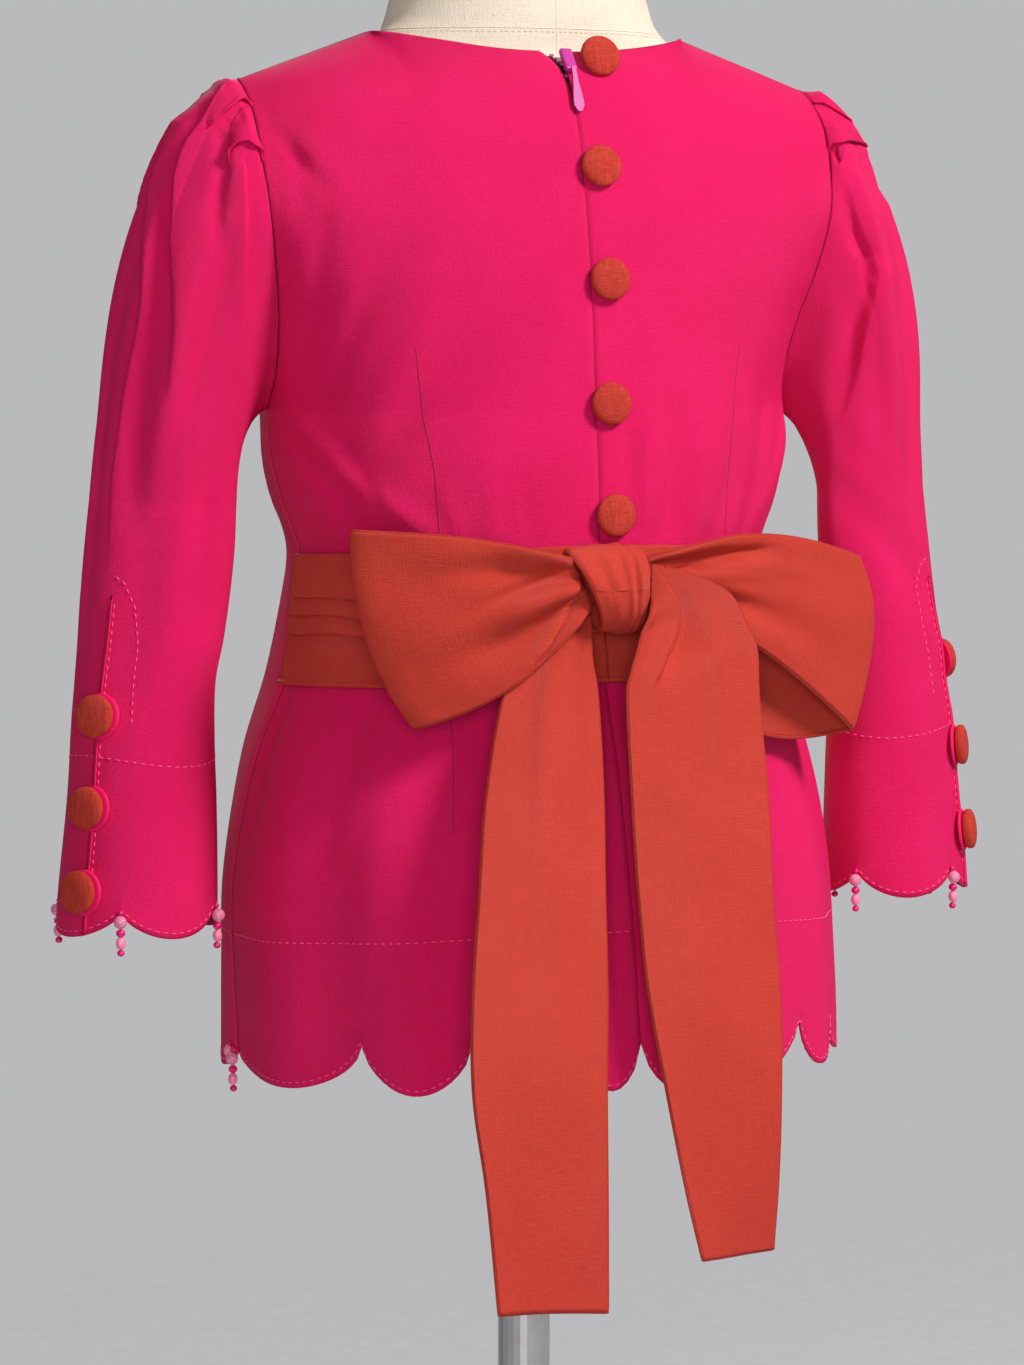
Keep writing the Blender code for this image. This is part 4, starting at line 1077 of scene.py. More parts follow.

# %% [markdown]
# The folded edges at the top of a sleeve overlap the cloth below them, so each is a small layer of
# its own. It lies on the sleeve at its ridge, stands off it at the folded edge and rolls back under.
# Both lines are read off the photograph, and the sleeve's own grid turns them into places.

# %% Folded layers of the pleats
Layer = namedtuple("Layer", "word stand ridge edge")
LAYER_THICK = 0.9
LAYERS = (
    Layer("left", 3.0, (
        (238, 80), (228, 86), (219, 99), (211, 112), (207, 122),
    ), ((253, 106), (243, 102), (231, 111), (218, 121), (209, 129))),
    Layer("left", 2.8, (
        (252, 106), (243, 109), (236, 117), (231, 129), (229, 145), (229, 162),
    ), ((265, 160), (259, 151), (249, 142), (240, 144), (233, 151), (231, 164))),
    Layer("right", 1.6, (
        (803, 97), (818, 98), (838, 108), (851, 122),
    ), ((808, 106), (822, 105), (840, 116), (852, 124))),
    Layer("right", 2.6, (
        (808, 107), (822, 107), (840, 119), (856, 134), (867, 146),
    ), ((826, 153), (833, 145), (844, 142), (856, 144), (867, 148))),
)


def along_path(path, shares):
    path = np.array(path, float)
    run = np.r_[0, np.linalg.norm(np.diff(path, axis=0), axis=1).cumsum()]
    run /= run[-1]
    return np.stack([np.interp(shares, run, path[:, axis]) for axis in range(2)], axis=1)


def lay_over(number, layer):
    cloth = SLEEVES[layer.word]
    seen = cloth.out @ TO_CAMERA > 0.02
    pixels, points, outs = in_photo(cloth.grid)[seen], cloth.grid[seen], cloth.out[seen]
    shares = np.linspace(0, 1, 40)
    ridge, edge = along_path(layer.ridge, shares), along_path(layer.edge, shares)
    rows = [(t, 0.15 + layer.stand * t**1.5) for t in np.linspace(0, 1, 24)]
    rolled_under = (1.03, layer.stand * 0.6), (1.0, layer.stand * 0.42), (0.93, 0.5)
    rows += [(1.03, layer.stand * 0.82), *rolled_under]
    grid = []
    for t, lift in rows:
        line = []
        for share, pixel in zip(shares, mix(ridge, edge, t)):
            away = ((pixels - pixel) ** 2).sum(axis=1)
            near = np.argpartition(away, 9)[:9]
            weight = 1 / (away[near] + 1.5)
            weight = weight[:, None] / weight.sum()
            taper = min(1, 6 * (1 - share) + 0.1) * min(1, 0.3 + 5 * share)
            under, up = (points[near] * weight).sum(axis=0), (outs[near] * weight).sum(axis=0)
            line.append(under + up * lift * taper)
        grid.append(line)
    grid = np.array(grid)
    for _ in range(2):
        inner = (grid[:-2, 1:-1] + grid[2:, 1:-1] + grid[1:-1, :-2] + grid[1:-1, 2:]) / 4
        grid[1:-1, 1:-1] = mix(grid[1:-1, 1:-1], inner, 0.6)
    inwards = (facing(grid) @ TO_CAMERA).mean() < 0
    made = grid_object(f"pleat_layer_{number}", grid, pink, flip=inwards)
    return fit(thicken(made, LAYER_THICK), "pink_cloth")


layers = [(layer.word, lay_over(number, layer)) for number, layer in enumerate(LAYERS, 1)]

# %% [markdown]
# The armhole seam has its turnings pressed under the sleeve. They close the hair's breadth between
# the panels and the sleeve, so the seam shows as a dark line and no light comes through.

# %% Armhole seams
seams = []
for side in (1, -1):
    ring = np.array([armhole_point(turn) for turn in np.linspace(0, 360, 181)])
    middle = ring.mean(axis=0)
    inward = (middle - ring) / np.linalg.norm(middle - ring, axis=1, keepdims=True)
    seams.append((ring + inward * 0.1 - (0.9, 0, 0)) * (side, 1, 1))
fit(cord_line("armhole_seams", seams, 0.75, pink_inside), "pink_cloth")
print("armhole seams:", len(seams))

# %% [markdown]
# ## Vents, cuffs and buttons
# A button covered with cloth is a dome with a rolled rim, so its profile is turned round an axis.
# The imported button gives the place and the axis: the axis is the way in which the button
# is thinnest, and the sign is the one that points away from the body.

# %% Turned pieces on the imported ones
BUTTON_RADIUS, BUTTON_THICK, TAB_RADIUS, TAB_THICK = 9.75, 5.4, 10.6, 1.6


def seat_of(node, inside):
    """Centre of the underside of a packed disc, and the unit axis that points away from inside."""
    solid = bpy.data.objects[node]
    points = np.array([solid.matrix_world @ v.co for v in solid.data.vertices]) / MM - (0, 0, BUST_LINE)
    middle = (points.max(axis=0) + points.min(axis=0)) / 2
    _, _, axes = np.linalg.svd(points - points.mean(axis=0))
    axis = axes[2] * np.sign(axes[2] @ (middle - inside))
    depth = (points - middle) @ axis
    return middle + axis * depth.min(), axis


def turned(name, profile, finish, seat, axis, sides=56, uneven=0.0):
    """A profile of (radius, height) turned round an axis."""
    beside = np.cross(axis, (0, 0, 1.0))
    beside /= np.linalg.norm(beside)
    up = np.cross(beside, axis)
    verts, faces = [], []
    for radius, height in profile:
        for n in range(sides):
            turn = 2 * math.pi * n / sides
            full = radius * (1 + uneven * math.sin(14 * turn + 3 * height) * (height < BUTTON_THICK * 0.5))
            verts.append(seat + axis * height + (beside * math.cos(turn) + up * math.sin(turn)) * full)
    for ring in range(len(profile) - 1):
        for n in range(sides):
            a, b = ring * sides + n, ring * sides + (n + 1) % sides
            faces.append((a, a + sides, b + sides, b))
    faces.append(tuple(range(sides)))
    last = (len(profile) - 1) * sides
    faces.append(tuple(last + n for n in range(sides))[::-1])
    return mesh_object(name, verts, faces, finish, recalculate=True)


def dome(radius, thick, steps=14):
    """From the middle of the face, over the rolled rim, to the middle of the flat back."""
    line = []
    for n in range(steps):
        angle = math.pi / 2 * (0.04 + 0.96 * n / (steps - 1))
        height = thick * (0.42 + 0.58 * max(0, math.cos(angle)) ** 0.75)
        line.append((radius * math.sin(angle) ** 0.9, height))
    for n in range(1, 7):
        angle = math.pi / 2 * n / 6
        line.append((radius * (0.84 + 0.16 * math.cos(angle)), thick * 0.42 * (1 - math.sin(angle)) + 0.02))
    return line


def make_button(node, inside):
    seat, axis = seat_of(node, inside)
    profile = dome(BUTTON_RADIUS, BUTTON_THICK)
    made = turned(node + "_cover", profile, button_cover, seat, axis, uneven=0.008)
    return fit(made, "button_cloth", node)


for number in range(1, 6):
    node = f"back_button_{number}"
    make_button(node, np.array((0, -40, seat_of(node, np.zeros(3))[0][2] - 30)))
TAB = (
    (0.4, TAB_THICK), (TAB_RADIUS - 2.0, TAB_THICK), (TAB_RADIUS - 0.7, TAB_THICK * 0.9), (TAB_RADIUS, 0.8),
    (TAB_RADIUS - 0.5, 0.15), (TAB_RADIUS - 2.0, 0.0), (0.4, 0.0),
)
for side, word in ((1, "left"), (-1, "right")):
    for number in (1, 2, 3):
        node = f"cuff_tab_{word}_{number}"
        height = seat_of(node, np.zeros(3))[0][2]
        inside = np.array((side * read(ARM, height).across, 6, height))
        seat, axis = seat_of(node, inside)
        tab = fit(turned(node + "_cloth", TAB, pink, seat, axis), "pink_cloth", node)
        make_button(f"cuff_button_{word}_{number}", inside)
print("buttons are", 2 * BUTTON_RADIUS, "mm across and tabs", 2 * TAB_RADIUS, "mm")

# %% [markdown]
# The vent is a slit from the cuff to just above the first button, with a strip of cloth beneath it.
# Its facing is stitched down along a curve, and the deep cuff facing along a level line.

# %% Vents and cuff stitches
FACING_TOP, EDGE_INSET, STRIP_THICK = -202, 2.6, 0.8
for word, side in (("left", 1), ("right", -1)):
    cloth = SLEEVES[word]
    first, last = VENT_AROUND, VENT_AROUND + 360
    turns = np.linspace(first + 1, last - 1, 60)
    facing_line = [(turn, FACING_TOP + 2.5 * math.sin(math.radians(turn * 2))) for turn in turns]
    cuff_edge = []
    for turn in np.linspace(first + 2, last - 2, 90):
        meet = scallop(turn % 360 / 360 * SLEEVE_COLUMNS, CUFF_MEETS)
        cuff_edge.append((turn, mix(CUFF_JOIN, CUFF_LOW, meet) + EDGE_INSET))
    curve = [
        (first + 1.0, -118), (first + 10, -121), (first + 21, -132), (first + 27, -150), (first + 29, -186),
    ]
    beside_vent = [(first + 3.4, VENT_TOP - 2), (first + 3.4, CUFF_JOIN)]
    rows = ((facing_line, 260), (cuff_edge, 320), (curve, 60), (beside_vent, 80))
    paths = [line_on(cloth, places, 0.05, count) for places, count in rows]
    fit(spindles(f"sleeve_{word}_stitches", paths, pink_thread), "pink_cloth")
    strip = []
    for height in np.linspace(VENT_TOP + 4, CUFF_JOIN + 1, 60):
        row = []
        for turn in np.linspace(VENT_AROUND - 9, VENT_AROUND + 9, 9):
            point = arm_point(turn, height)
            middle = np.array((read(ARM, height).across, 6, height))
            row.append((point + (middle - point) / np.linalg.norm(middle - point) * 2.6) * (side, 1, 1))
        strip.append(row)
    strip = np.array(strip)
    placket = grid_object(f"vent_strip_{word}", strip, pink_inside, flip=side > 0)
    fit(thicken(placket, STRIP_THICK), "pink_cloth")

# %% [markdown]
# ## Sash
# The sash is one wide strip pleated into bands. Every pleat is a fold of cloth that hangs over the
# one below, so its outline turns back on itself: the profile goes out, down over the folded edge
# and in again under it. The bands run nearly level, and gather a little towards the knot.

# %% Sash
SASH_TOP, SASH_LOW = (-104.0, -110.0), (-167.0, -171.0)
Step = namedtuple("Step", "run share off")
SASH_PROFILE = (
    Step(0, 0.0, 1.9), Step(1, 0.004, 2.7), Step(2, 0.03, 3.1), Step(6, 0.29, 4.3),
    Step(7, 0.335, 4.3), Step(7.4, 0.348, 3.9), Step(7.7, 0.342, 3.0), Step(8, 0.33, 2.5),
    Step(8.6, 0.36, 3.2), Step(10, 0.44, 4.0), Step(10.6, 0.472, 4.1), Step(11, 0.483, 3.7),
    Step(11.3, 0.478, 2.9), Step(11.6, 0.467, 2.5), Step(12.2, 0.50, 3.1), Step(13.6, 0.575, 3.9),
    Step(14.2, 0.612, 4.0), Step(14.6, 0.624, 3.5), Step(14.9, 0.618, 2.8), Step(15.2, 0.607, 2.4),
    Step(16, 0.66, 2.9), Step(18, 0.80, 3.7), Step(20, 0.955, 3.3), Step(20.5, 0.975, 3.9),
    Step(21, 0.995, 3.6), Step(21.4, 1.0, 2.8), Step(21.7, 0.99, 2.2),
)
SASH_FOLDS = (
    Crease(90, -150, 60, -160, 5, 1.6),
    Crease(78, -112, 30, -122, 5, 0.8),
    Crease(60, -118, 12, -119, 4, 0.9),
    Crease(40, -108, 10, -114, 4, -0.6),
    Crease(70, -150, 22, -156, 5, 0.9),
    Crease(48, -161, 12, -152, 4, 0.8),
    Crease(85, -163, 52, -166, 4, -0.7),
)
FLIPPED = tuple(
    fold._replace(
        from_across=-fold.from_across * 0.93, to_across=-fold.to_across * 1.1,
        from_height=fold.from_height - 3,
    )
    for fold in SASH_FOLDS
)
SASH_THICK = 0.9
print("the sash turns back on itself at", len(SASH_PROFILE), "steps")


# %% [markdown]
# The band is laid off the body surface: each place takes a turn and a height, and stands off the
# torso along the way that the surface faces there.

# %% Bands of the sash
def torso_grid(turn, height, aside=0.0, down=0.0):
    """Points of the body for arrays of turns and heights, moved a little aside or down."""
    return np.array([
        [body_point(t + aside, torso_level(h - down)) for t, h in zip(*line)]
        for line in zip(turn, height)
    ])


def band(word, side):
    places = np.linspace(0, 1, len(SASH_PROFILE))
    runs = np.interp(np.linspace(0, 1, 110), places, [row.run for row in SASH_PROFILE])
    turns = np.linspace(0, 89.5, 90)
    rows = []
    for step in [read(SASH_PROFILE, run) for run in runs]:
        row = []
        for turn in turns:
            sway = 0.012 * math.sin(turn / 9 + 4 * step.share) + 0.008 * math.sin(turn / 4.1)
            share = step.share + sway * math.sin(math.pi * min(max(step.share, 0), 1))
            top, low = mix(*SASH_TOP, turn / 90), mix(*SASH_LOW, turn / 90)
            row.append((turn, mix(top, low, share), step.off))
        rows.append(row)
    turn, height, off = np.moveaxis(np.array(rows), -1, 0)
    base = torso_grid(turn, height)
    out = np.cross(torso_grid(turn, height, aside=0.5) - base, torso_grid(turn, height, down=1) - base)
    out /= np.linalg.norm(out, axis=2, keepdims=True)
    lift = crease_rise(turn * side, height, SASH_FOLDS if side > 0 else FLIPPED, DEGREE)
    lift += ripple(turn * DEGREE, height * 2, 0.12)
    middle = np.sin(np.pi * np.clip(np.linspace(0, 1, len(off)), 0, 1))[:, None]
    grid = (base + out * (off + lift * middle * 0.8 + 0.3)[:, :, None]) * (side, 1, 1)
    made = grid_object(f"sash_{word}_cloth", grid, rust, flip=side < 0)
    thicken(made, SASH_THICK)
    fit(made, "rust_satin", f"sash_{word}")


band("left", 1)
band("right", -1)

# %% [markdown]
# ## Bow
# The knot is a band wrapped once round the middle. Each loop comes out of it bunched, opens to
# full width and folds back, so the folds start together at the knot and fan out. The tails hang
# from under the knot: the wearer's right one is turned over near its top, where it shows a deep
# cusp, and the left one has a bright rolled edge.

# %% Knot
KNOT_CENTRE, KNOT_DEPTH, KNOT_HEIGHT = np.array((4.0, 112.2, -123.0)), 14.5, 20.5
KNOT_LEFT, KNOT_RIGHT = (26.0, 9.5), (-12.0, -10.0)


def knot_point(share, turn):
    angle = math.radians(turn)
    up = math.sin(angle)
    left = mix(KNOT_LEFT[1], KNOT_LEFT[0], (up + 1) / 2)
    right = mix(KNOT_RIGHT[1], KNOT_RIGHT[0], (up + 1) / 2)
    full = 1 - 0.1 * abs(2 * share - 1) ** 2
    edge = max(0.0, abs(2 * share - 1) - 0.9) / 0.1
    full *= 1 - 0.10 * edge**2
    ridges = 0.9 * math.exp(-(((share - 0.66) / 0.05) ** 2)) + 0.8 * math.exp(-(((share - 0.84) / 0.05) ** 2))
    ridges -= 0.8 * math.exp(-(((share - 0.75) / 0.04) ** 2)) + 0.5 * math.exp(-(((share - 0.3) / 0.08) ** 2))
    ridges += 0.25 * math.sin(share * 17 + turn / 40) + 0.2 * math.sin(turn / 11 + share * 5)
    deep, tall = KNOT_DEPTH * full + ridges, KNOT_HEIGHT * full + ridges * 0.7
    return (mix(left, right, share), KNOT_CENTRE[1] + deep * math.cos(angle), KNOT_CENTRE[2] + tall * up)


def make_knot():
    shares = np.r_[0, 0.006, 0.02, np.linspace(0.05, 0.95, 40), 0.98, 0.994, 1]
    grid = np.array([[knot_point(share, turn) for turn in np.linspace(0, 360, 97)] for share in shares])
    ends = []
    for row, inward in ((grid[0], (-2.4, 0, 0)), (grid[-1], (2.4, 0, 0))):
        middle = row[:-1].mean(axis=0)
        rim = [mix(row, middle, part) + np.array(inward) * part * 2.2 for part in (0.16, 0.45, 0.8, 0.97)]
        ends.append(rim)
    grid = np.array([*ends[0][::-1], *grid, *ends[1]])
    made = grid_object("knot_cloth", grid, rust, weld=True)
    return fit(made, "rust_satin", "bow_knot")


print("knot stands", KNOT_DEPTH, "mm deep:", make_knot().name)

# %% [markdown]
# A loop is a surface between three edges: the root at the knot, the outer fold, and the root again.
# Around runs from -1 at the back root over the fold at 0 to 1 at the front root. Folds that start
# at the knot spread and fade on the way out, as a fan.

# %% Loops
Loop = namedtuple("Loop", "side front_root back_root top middle bottom depths front_rise back_sag")
LOOPS = {
    "bow_loop_left": Loop(
        1, ((24.7, 117.5, -109), (15.4, 118, -130)), ((23.7, 105, -111), (14.4, 106, -132)),
        (119, 90, -96), (113, 93, -144), (92, 96, -184), (13.0, 8.0), (3.0, -9.0), (2.0, 8.0),
    ),
    "bow_loop_right": Loop(
        -1, ((-12.2, 112, -110), (-11.4, 112, -126)), ((-12.1, 104.6, -112), (-11.0, 105.4, -134)),
        (-134, 86, -113), (-139, 90, -148), (-127, 93, -193), (13.0, 7.5), (11.0, 9.0), (2.0, -25.0),
    ),
}
Fan = namedtuple("Fan", "share width rise reach")
LOOP_FANS = {
    "bow_loop_left": (
        Fan(0.16, 0.05, -1.8, 0.8), Fan(0.26, 0.06, 1.6, 0.9), Fan(0.40, 0.05, -2.0, 0.7),
        Fan(0.52, 0.07, 1.8, 0.85), Fan(0.66, 0.05, -2.0, 0.9), Fan(0.82, 0.06, 1.4, 0.6),
    ),
    "bow_loop_right": (
        Fan(0.14, 0.05, -1.4, 0.6), Fan(0.28, 0.07, 2.0, 0.95), Fan(0.38, 0.04, -2.2, 0.85),
        Fan(0.55, 0.07, 1.6, 0.7), Fan(0.70, 0.05, -2.2, 0.95), Fan(0.84, 0.05, 1.2, 0.8),
    ),
}


def loop_point(loop, around, share, fans=()):
    """A point of a bow loop: around runs from -1 at the back root to 1 at the front root."""
    reach = math.cos(math.pi * around / 2)
    root = np.array(loop.front_root if around > 0 else loop.back_root, float)
    start = mix(root[0], root[1], share)
    ends = (1 - share) * (1 - 2 * share), 4 * share * (1 - share), share * (2 * share - 1)
    end = sum(np.array(point) * part for point, part in zip((loop.top, loop.middle, loop.bottom), ends))
    point = mix(start, end, reach)
    lift = loop.front_rise if around > 0 else loop.back_sag
    point[2] += mix(lift[0], lift[1], share) * math.sin(math.pi * reach)
    puff = loop.depths[int(around < 0)] * max(0.0, reach) ** 0.7 * math.sin(math.pi * abs(around) / 2)
    point[1] += math.copysign(puff, around)
    if around > 0:
        gather = math.exp(-((reach / 0.5) ** 2)) * min(1, reach / 0.12)
        point[1] += 4.0 * math.cos(4 * math.pi * share) * gather
    for fan in fans:
        fade = max(0.0, 1 - reach / fan.reach) ** 0.7 * min(1, reach / 0.08)
        away = (share - fan.share - 0.06 * reach) / (fan.width * (1 + 1.6 * reach))
        point[1] += fan.rise * fade * math.exp(-(away**2)) * (1 if around > 0 else 0.5)
    point[1] += 0.5 * math.sin(9 * share + 11 * reach) * min(1, 3 * reach) * (1 if around > 0 else 0.4)
    return point


print("left loop's outer corner:", loop_point(LOOPS["bow_loop_left"], 0, 1).round(1))

# %% [markdown]
# The sharp folds that show are drawn in the photograph, and only the front of each loop takes them.

# %% Folds of the loops
BOW_FOLDS = {
    "bow_loop_left": (
        swell(-2.6, 7, 0.02, 0.5, ((578, 569), (545, 578), (512, 592), (480, 607), (455, 620))),
        swell(1.8, 9, 0.02, 0.5, ((580, 578), (555, 588), (532, 604), (514, 622), (505, 645))),
        Fold(LEFT_HIGH, 1.8, 1.6, 4, 7, 6, 0.02, 0.3, (
            (580, 592), (568, 602), (560, 622), (545, 648), (520, 676),
        )),
        swell(1.2, 12, 0.2, 0.4, ((560, 556), (500, 552), (440, 556), (390, 566))),
    ),
    "bow_loop_right": (
        swell(-2.6, 6, 0.02, 0.3, ((672, 572), (700, 564), (738, 553), (772, 549), (785, 560))),
        swell(1.6, 7, 0.02, 0.4, ((668, 566), (690, 550), (718, 542), (745, 543))),
        swell(-2.2, 7, 0.02, 0.4, ((690, 577), (720, 580), (755, 584), (790, 594))),
        swell(1.4, 9, 0.05, 0.4, ((700, 572), (740, 570), (780, 574))),
    ),
}
for name, loop in LOOPS.items():
    rows = np.linspace(1, -1, 121)
    fans = LOOP_FANS[name]
    grid = [[loop_point(loop, around, share, fans) for share in np.linspace(0, 1, 61)] for around in rows]
    grid = np.array(grid)
    fore = (rows > 0)[:, None] * np.clip(rows * 4, 0, 1)[:, None] * np.clip((1 - rows) * 20, 0, 1)[:, None]
    grid[:, :, 1] += fold_lift(in_photo(grid), BOW_FOLDS[name]) * fore
    made = grid_object(name + "_cloth", grid, rust, flip=loop.side < 0)
    thicken(made, SATIN)
    fit(made, "rust_satin", name)
    rolled = [grid[:, 0], grid[:, -1]]
    rim = fit(cord_line(name + "_rolled_edges", rolled, 0.95, rust), "rust_satin")

# %% [markdown]
# Each tail is a strip between two edges, which are read on smooth curves through a few rows, with a
# bulge between them. The creases of a tail are told by the share across it and the row down it.

# %% Tails
Cross = namedtuple("Cross", "at left_x left_y left_z right_x right_y right_z bulge")
TAIL_LEFT = (
    Cross(0, 26, 110.5, -135, 12.9, 111, -135.4, 0),
    Cross(1, 37, 109.5, -146, 13.5, 113, -147, 1),
    Cross(2, 45, 109.5, -155, 14.2, 116, -156, 2),
    Cross(3, 56, 113, -171, 13.8, 121, -172, 3),
    Cross(4, 70, 128, -213, 16, 133, -215, 4),
    Cross(5, 79, 142, -256, 19.5, 143, -258, 3),
    Cross(6, 85, 150, -298, 22.5, 152, -300, 2),
    Cross(7, 87, 156, -340, 25, 158, -343, 0),
    Cross(8, 82.5, 160, -383, 25.5, 160, -386, -2),
    Cross(9, 77.5, 162, -437, 24.5, 158, -441, -3),
)
TAIL_RIGHT = (
    Cross(0, -13.4, 121, -124, -13.4, 119, -112, 0),
    Cross(1, -9, 129.2, -134, -32, 121, -117, -3),
    Cross(2, -5, 128.5, -142, -50, 124, -126, -5),
    Cross(3, -2, 130, -151, -59, 126, -143, -5),
    Cross(4, 1.5, 131, -161, -62.5, 127, -153, -3),
    Cross(5, 3.8, 132, -172, -63, 128, -174, -1),
    Cross(6, 3.4, 137, -215, -64.5, 134, -218, 2),
    Cross(7, 3.1, 144, -259, -63.5, 142, -262, 3),
    Cross(8, 1.7, 152, -302, -63.3, 150, -306, 3),
    Cross(9, -4, 160, -346, -61.5, 155, -349, 2),
    Cross(10, -11, 166, -389, -61, 154, -391, 0),
    Cross(11, -17, 169, -419, -60, 151, -421, 0),
)
TAIL_FOLDS = {
    "left": (
        Crease(0.2, 0, 0.30, 3.6, 0.10, 1.8),
        Crease(0.55, 0, 0.62, 4.6, 0.10, -1.8),
        Crease(0.8, 0.6, 0.85, 8.4, 0.07, 1.2),
        Crease(0.4, 3.5, 0.36, 8.5, 0.13, 1.5),
        Crease(0.1, 5.0, 0.55, 8.0, 0.12, -1.2),
    ),
    "right": (
        Crease(0.32, 1.0, 0.16, 5.4, 0.09, -3.6),
        Crease(0.52, 1.4, 0.36, 5.0, 0.10, 2.8),
        Crease(0.76, 1.8, 0.62, 5.6, 0.09, -2.4),
        Crease(0.10, 2.0, 0.08, 9.0, 0.06, 1.0),
        Crease(0.62, 5.2, 0.58, 10.6, 0.12, 1.4),
        Crease(0.3, 6.2, 0.34, 10.8, 0.10, -1.3),
    ),
}
TAIL_SCALE = 10.0
TAIL_ROWS, TAIL_COLUMNS = 230, 57
print("left tail reaches", TAIL_LEFT[-1].left_z + BUST_LINE, "mm above the floor")

# %% [markdown]
# The wearer's right tail turns over just under the knot. Its folded edge is a knife fold with the
# most height of all, and it is drawn in the photograph like the rest.

# %% Folds of the tails
TAIL_PIXEL_FOLDS = {
    "left": (
        swell(-1.8, 11, 0.05, 0.4, ((566, 610), (552, 660), (545, 720), (540, 800), (545, 930))),
        swell(0.9, 14, 0.1, 0.4, ((580, 625), (572, 700), (575, 800), (585, 930), (592, 1060))),
    ),
    "right": (
        Fold(RIGHT_HIGH, 3.2, 3.4, 4, 14, 10, 0.03, 0.3, (
            (648, 562), (657, 570), (666, 580), (675, 600), (680, 619), (677, 634), (667, 658), (655, 690),
        )),
        swell(-1.0, 12, 0.2, 0.4, ((700, 590), (712, 640), (722, 720), (728, 820))),
        swell(0.9, 16, 0.2, 0.4, ((660, 700), (665, 800), (680, 920), (695, 1080))),
    ),
}


def tail(word, table):
    shares, stations = np.linspace(0, 1, TAIL_COLUMNS), np.linspace(0, len(table) - 1, TAIL_ROWS)
    across, along = np.meshgrid(shares, stations)
    rows = []
    for at in stations:
        row = read(table, at)
        left = np.array((row.left_x, row.left_y, row.left_z))
        right = np.array((row.right_x, row.right_y, row.right_z))
        rows.append([
            mix(left, right, share) + (0, row.bulge * math.sin(math.pi * share), 0) for share in shares
        ])
    grid = np.array(rows)
    folds = tuple(
        fold._replace(
            from_across=fold.from_across * TAIL_SCALE, to_across=fold.to_across * TAIL_SCALE,
            width=fold.width * TAIL_SCALE,
        )
        for fold in TAIL_FOLDS[word]
    )
    lift = crease_rise(across * TAIL_SCALE, along, folds)
    lift = 0.35 * lift + 0.3 * np.sin(along * 2.1 + across * 5)
    lift += fold_lift(in_photo(grid), TAIL_PIXEL_FOLDS[word])
    held = np.clip(along / 1.2, 0, 1)
    grid = grid + facing(grid) * (lift * held)[:, :, None]
    made = grid_object(f"tail_{word}_cloth", grid, rust)
    thicken(made, SATIN)
    fit(made, "rust_satin", f"tail_{word}")
    rolled = [np.r_[grid[8:, 0], grid[-1], grid[:7:-1, -1]]]
    rim = fit(cord_line(f"tail_{word}_rolled_edge", rolled, 0.9, rust), "rust_satin")


tail("left", TAIL_LEFT)
tail("right", TAIL_RIGHT)

# %% [markdown]
# ## Zip
# The slider sits below the neckline with its pull hanging straight down, and above it the two edges
# stand apart, so a little of the tape and teeth shows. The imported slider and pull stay: they carry
# the hinge, so only their edges are softened.

# %% Zip
TEETH_TOP, TEETH_LOW, TEETH_STEP = 121.0, 82.0, 1.25
SLIDER_TOP, OPEN_RUN, OPEN_WIDE = 116, 6, 4.5
TAPE_LOW, TAPE_THICK = -300, 0.3
BOX_CORNERS = [(x, y, z) for z in (-1, 1) for x, y in ((-1, -1), (1, -1), (1, 1), (-1, 1))]
BOX_FACES = ((0, 3, 2, 1), (4, 5, 6, 7), (0, 1, 5, 4), (1, 2, 6, 5), (2, 3, 7, 6), (3, 0, 4, 7))
TOOTH = np.array((0.95, 0.5, 0.4))


def seam_spot(height, across):
    """A place beside the zip, at a height and a distance from the centre line in millimetres."""
    cloth = BACK_LEFT if across >= 0 else BACK_RIGHT
    column = 2 if across >= 0 else -3
    row = int(np.argmin(np.abs(cloth.grid[:, column, 2] - height)))
    point = cloth.grid[row, column].copy()
    point[0] = across
    return point, cloth.out[row, column]


def opened(height):
    """How far each edge stands from the centre line above the slider."""
    return OPEN_WIDE * max(0.0, (height - SLIDER_TOP) / OPEN_RUN)


def soften(node, finish, width):
    """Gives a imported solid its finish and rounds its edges."""
    solid = bpy.data.objects[node]
    solid.data.materials.clear()
    solid.data.materials.append(finish)
    rounding = solid.modifiers.new("soft edges", "BEVEL")
    rounding.width, rounding.segments, rounding.limit_method = width * MM, 3, "ANGLE"


def zip_chain():
    verts, faces = [], []
    for height in np.arange(TEETH_LOW, TEETH_TOP, TEETH_STEP):
        for side in (1, -1):
            point, out = seam_spot(height + (0.6 if side > 0 else 0), side * (0.9 + opened(height)))
            first = len(verts)
            verts += [point - out * 1.1 + TOOTH * corner for corner in BOX_CORNERS]
            faces += [tuple(first + n for n in face) for face in BOX_FACES]
    return mesh_object("zip_teeth", verts, faces, zip_plastic, smooth=False)


fit(zip_chain(), "zip_plastic")
for side, word in ((1, "left"), (-1, "right")):
    tape = []
    for height in np.linspace(TAPE_LOW, TEETH_TOP, 90):
        row = []
        for across in (0.15, 3.5, 7.0, 10.5, 13.0):
            point, out = seam_spot(height, side * (across + opened(height)))
            row.append(point - out * 1.75)
        tape.append(row)
    tape = np.array(tape)
    made = grid_object(f"zip_tape_{word}", tape, zip_tape, flip=side > 0)
    fit(thicken(made, TAPE_THICK), "zip_plastic")
for node in ("zip_slider", "zip_pull"):
    soften(node, zip_plastic, 0.25)

# %% [markdown]
# ## Beads
# The scallops of the cuffs and of the front hem end in little drops: a seed bead, a round clear
# one, another seed, a rose oval and a last seed. The order repeats, so one table of beads makes
# every drop, with a short thread through it.

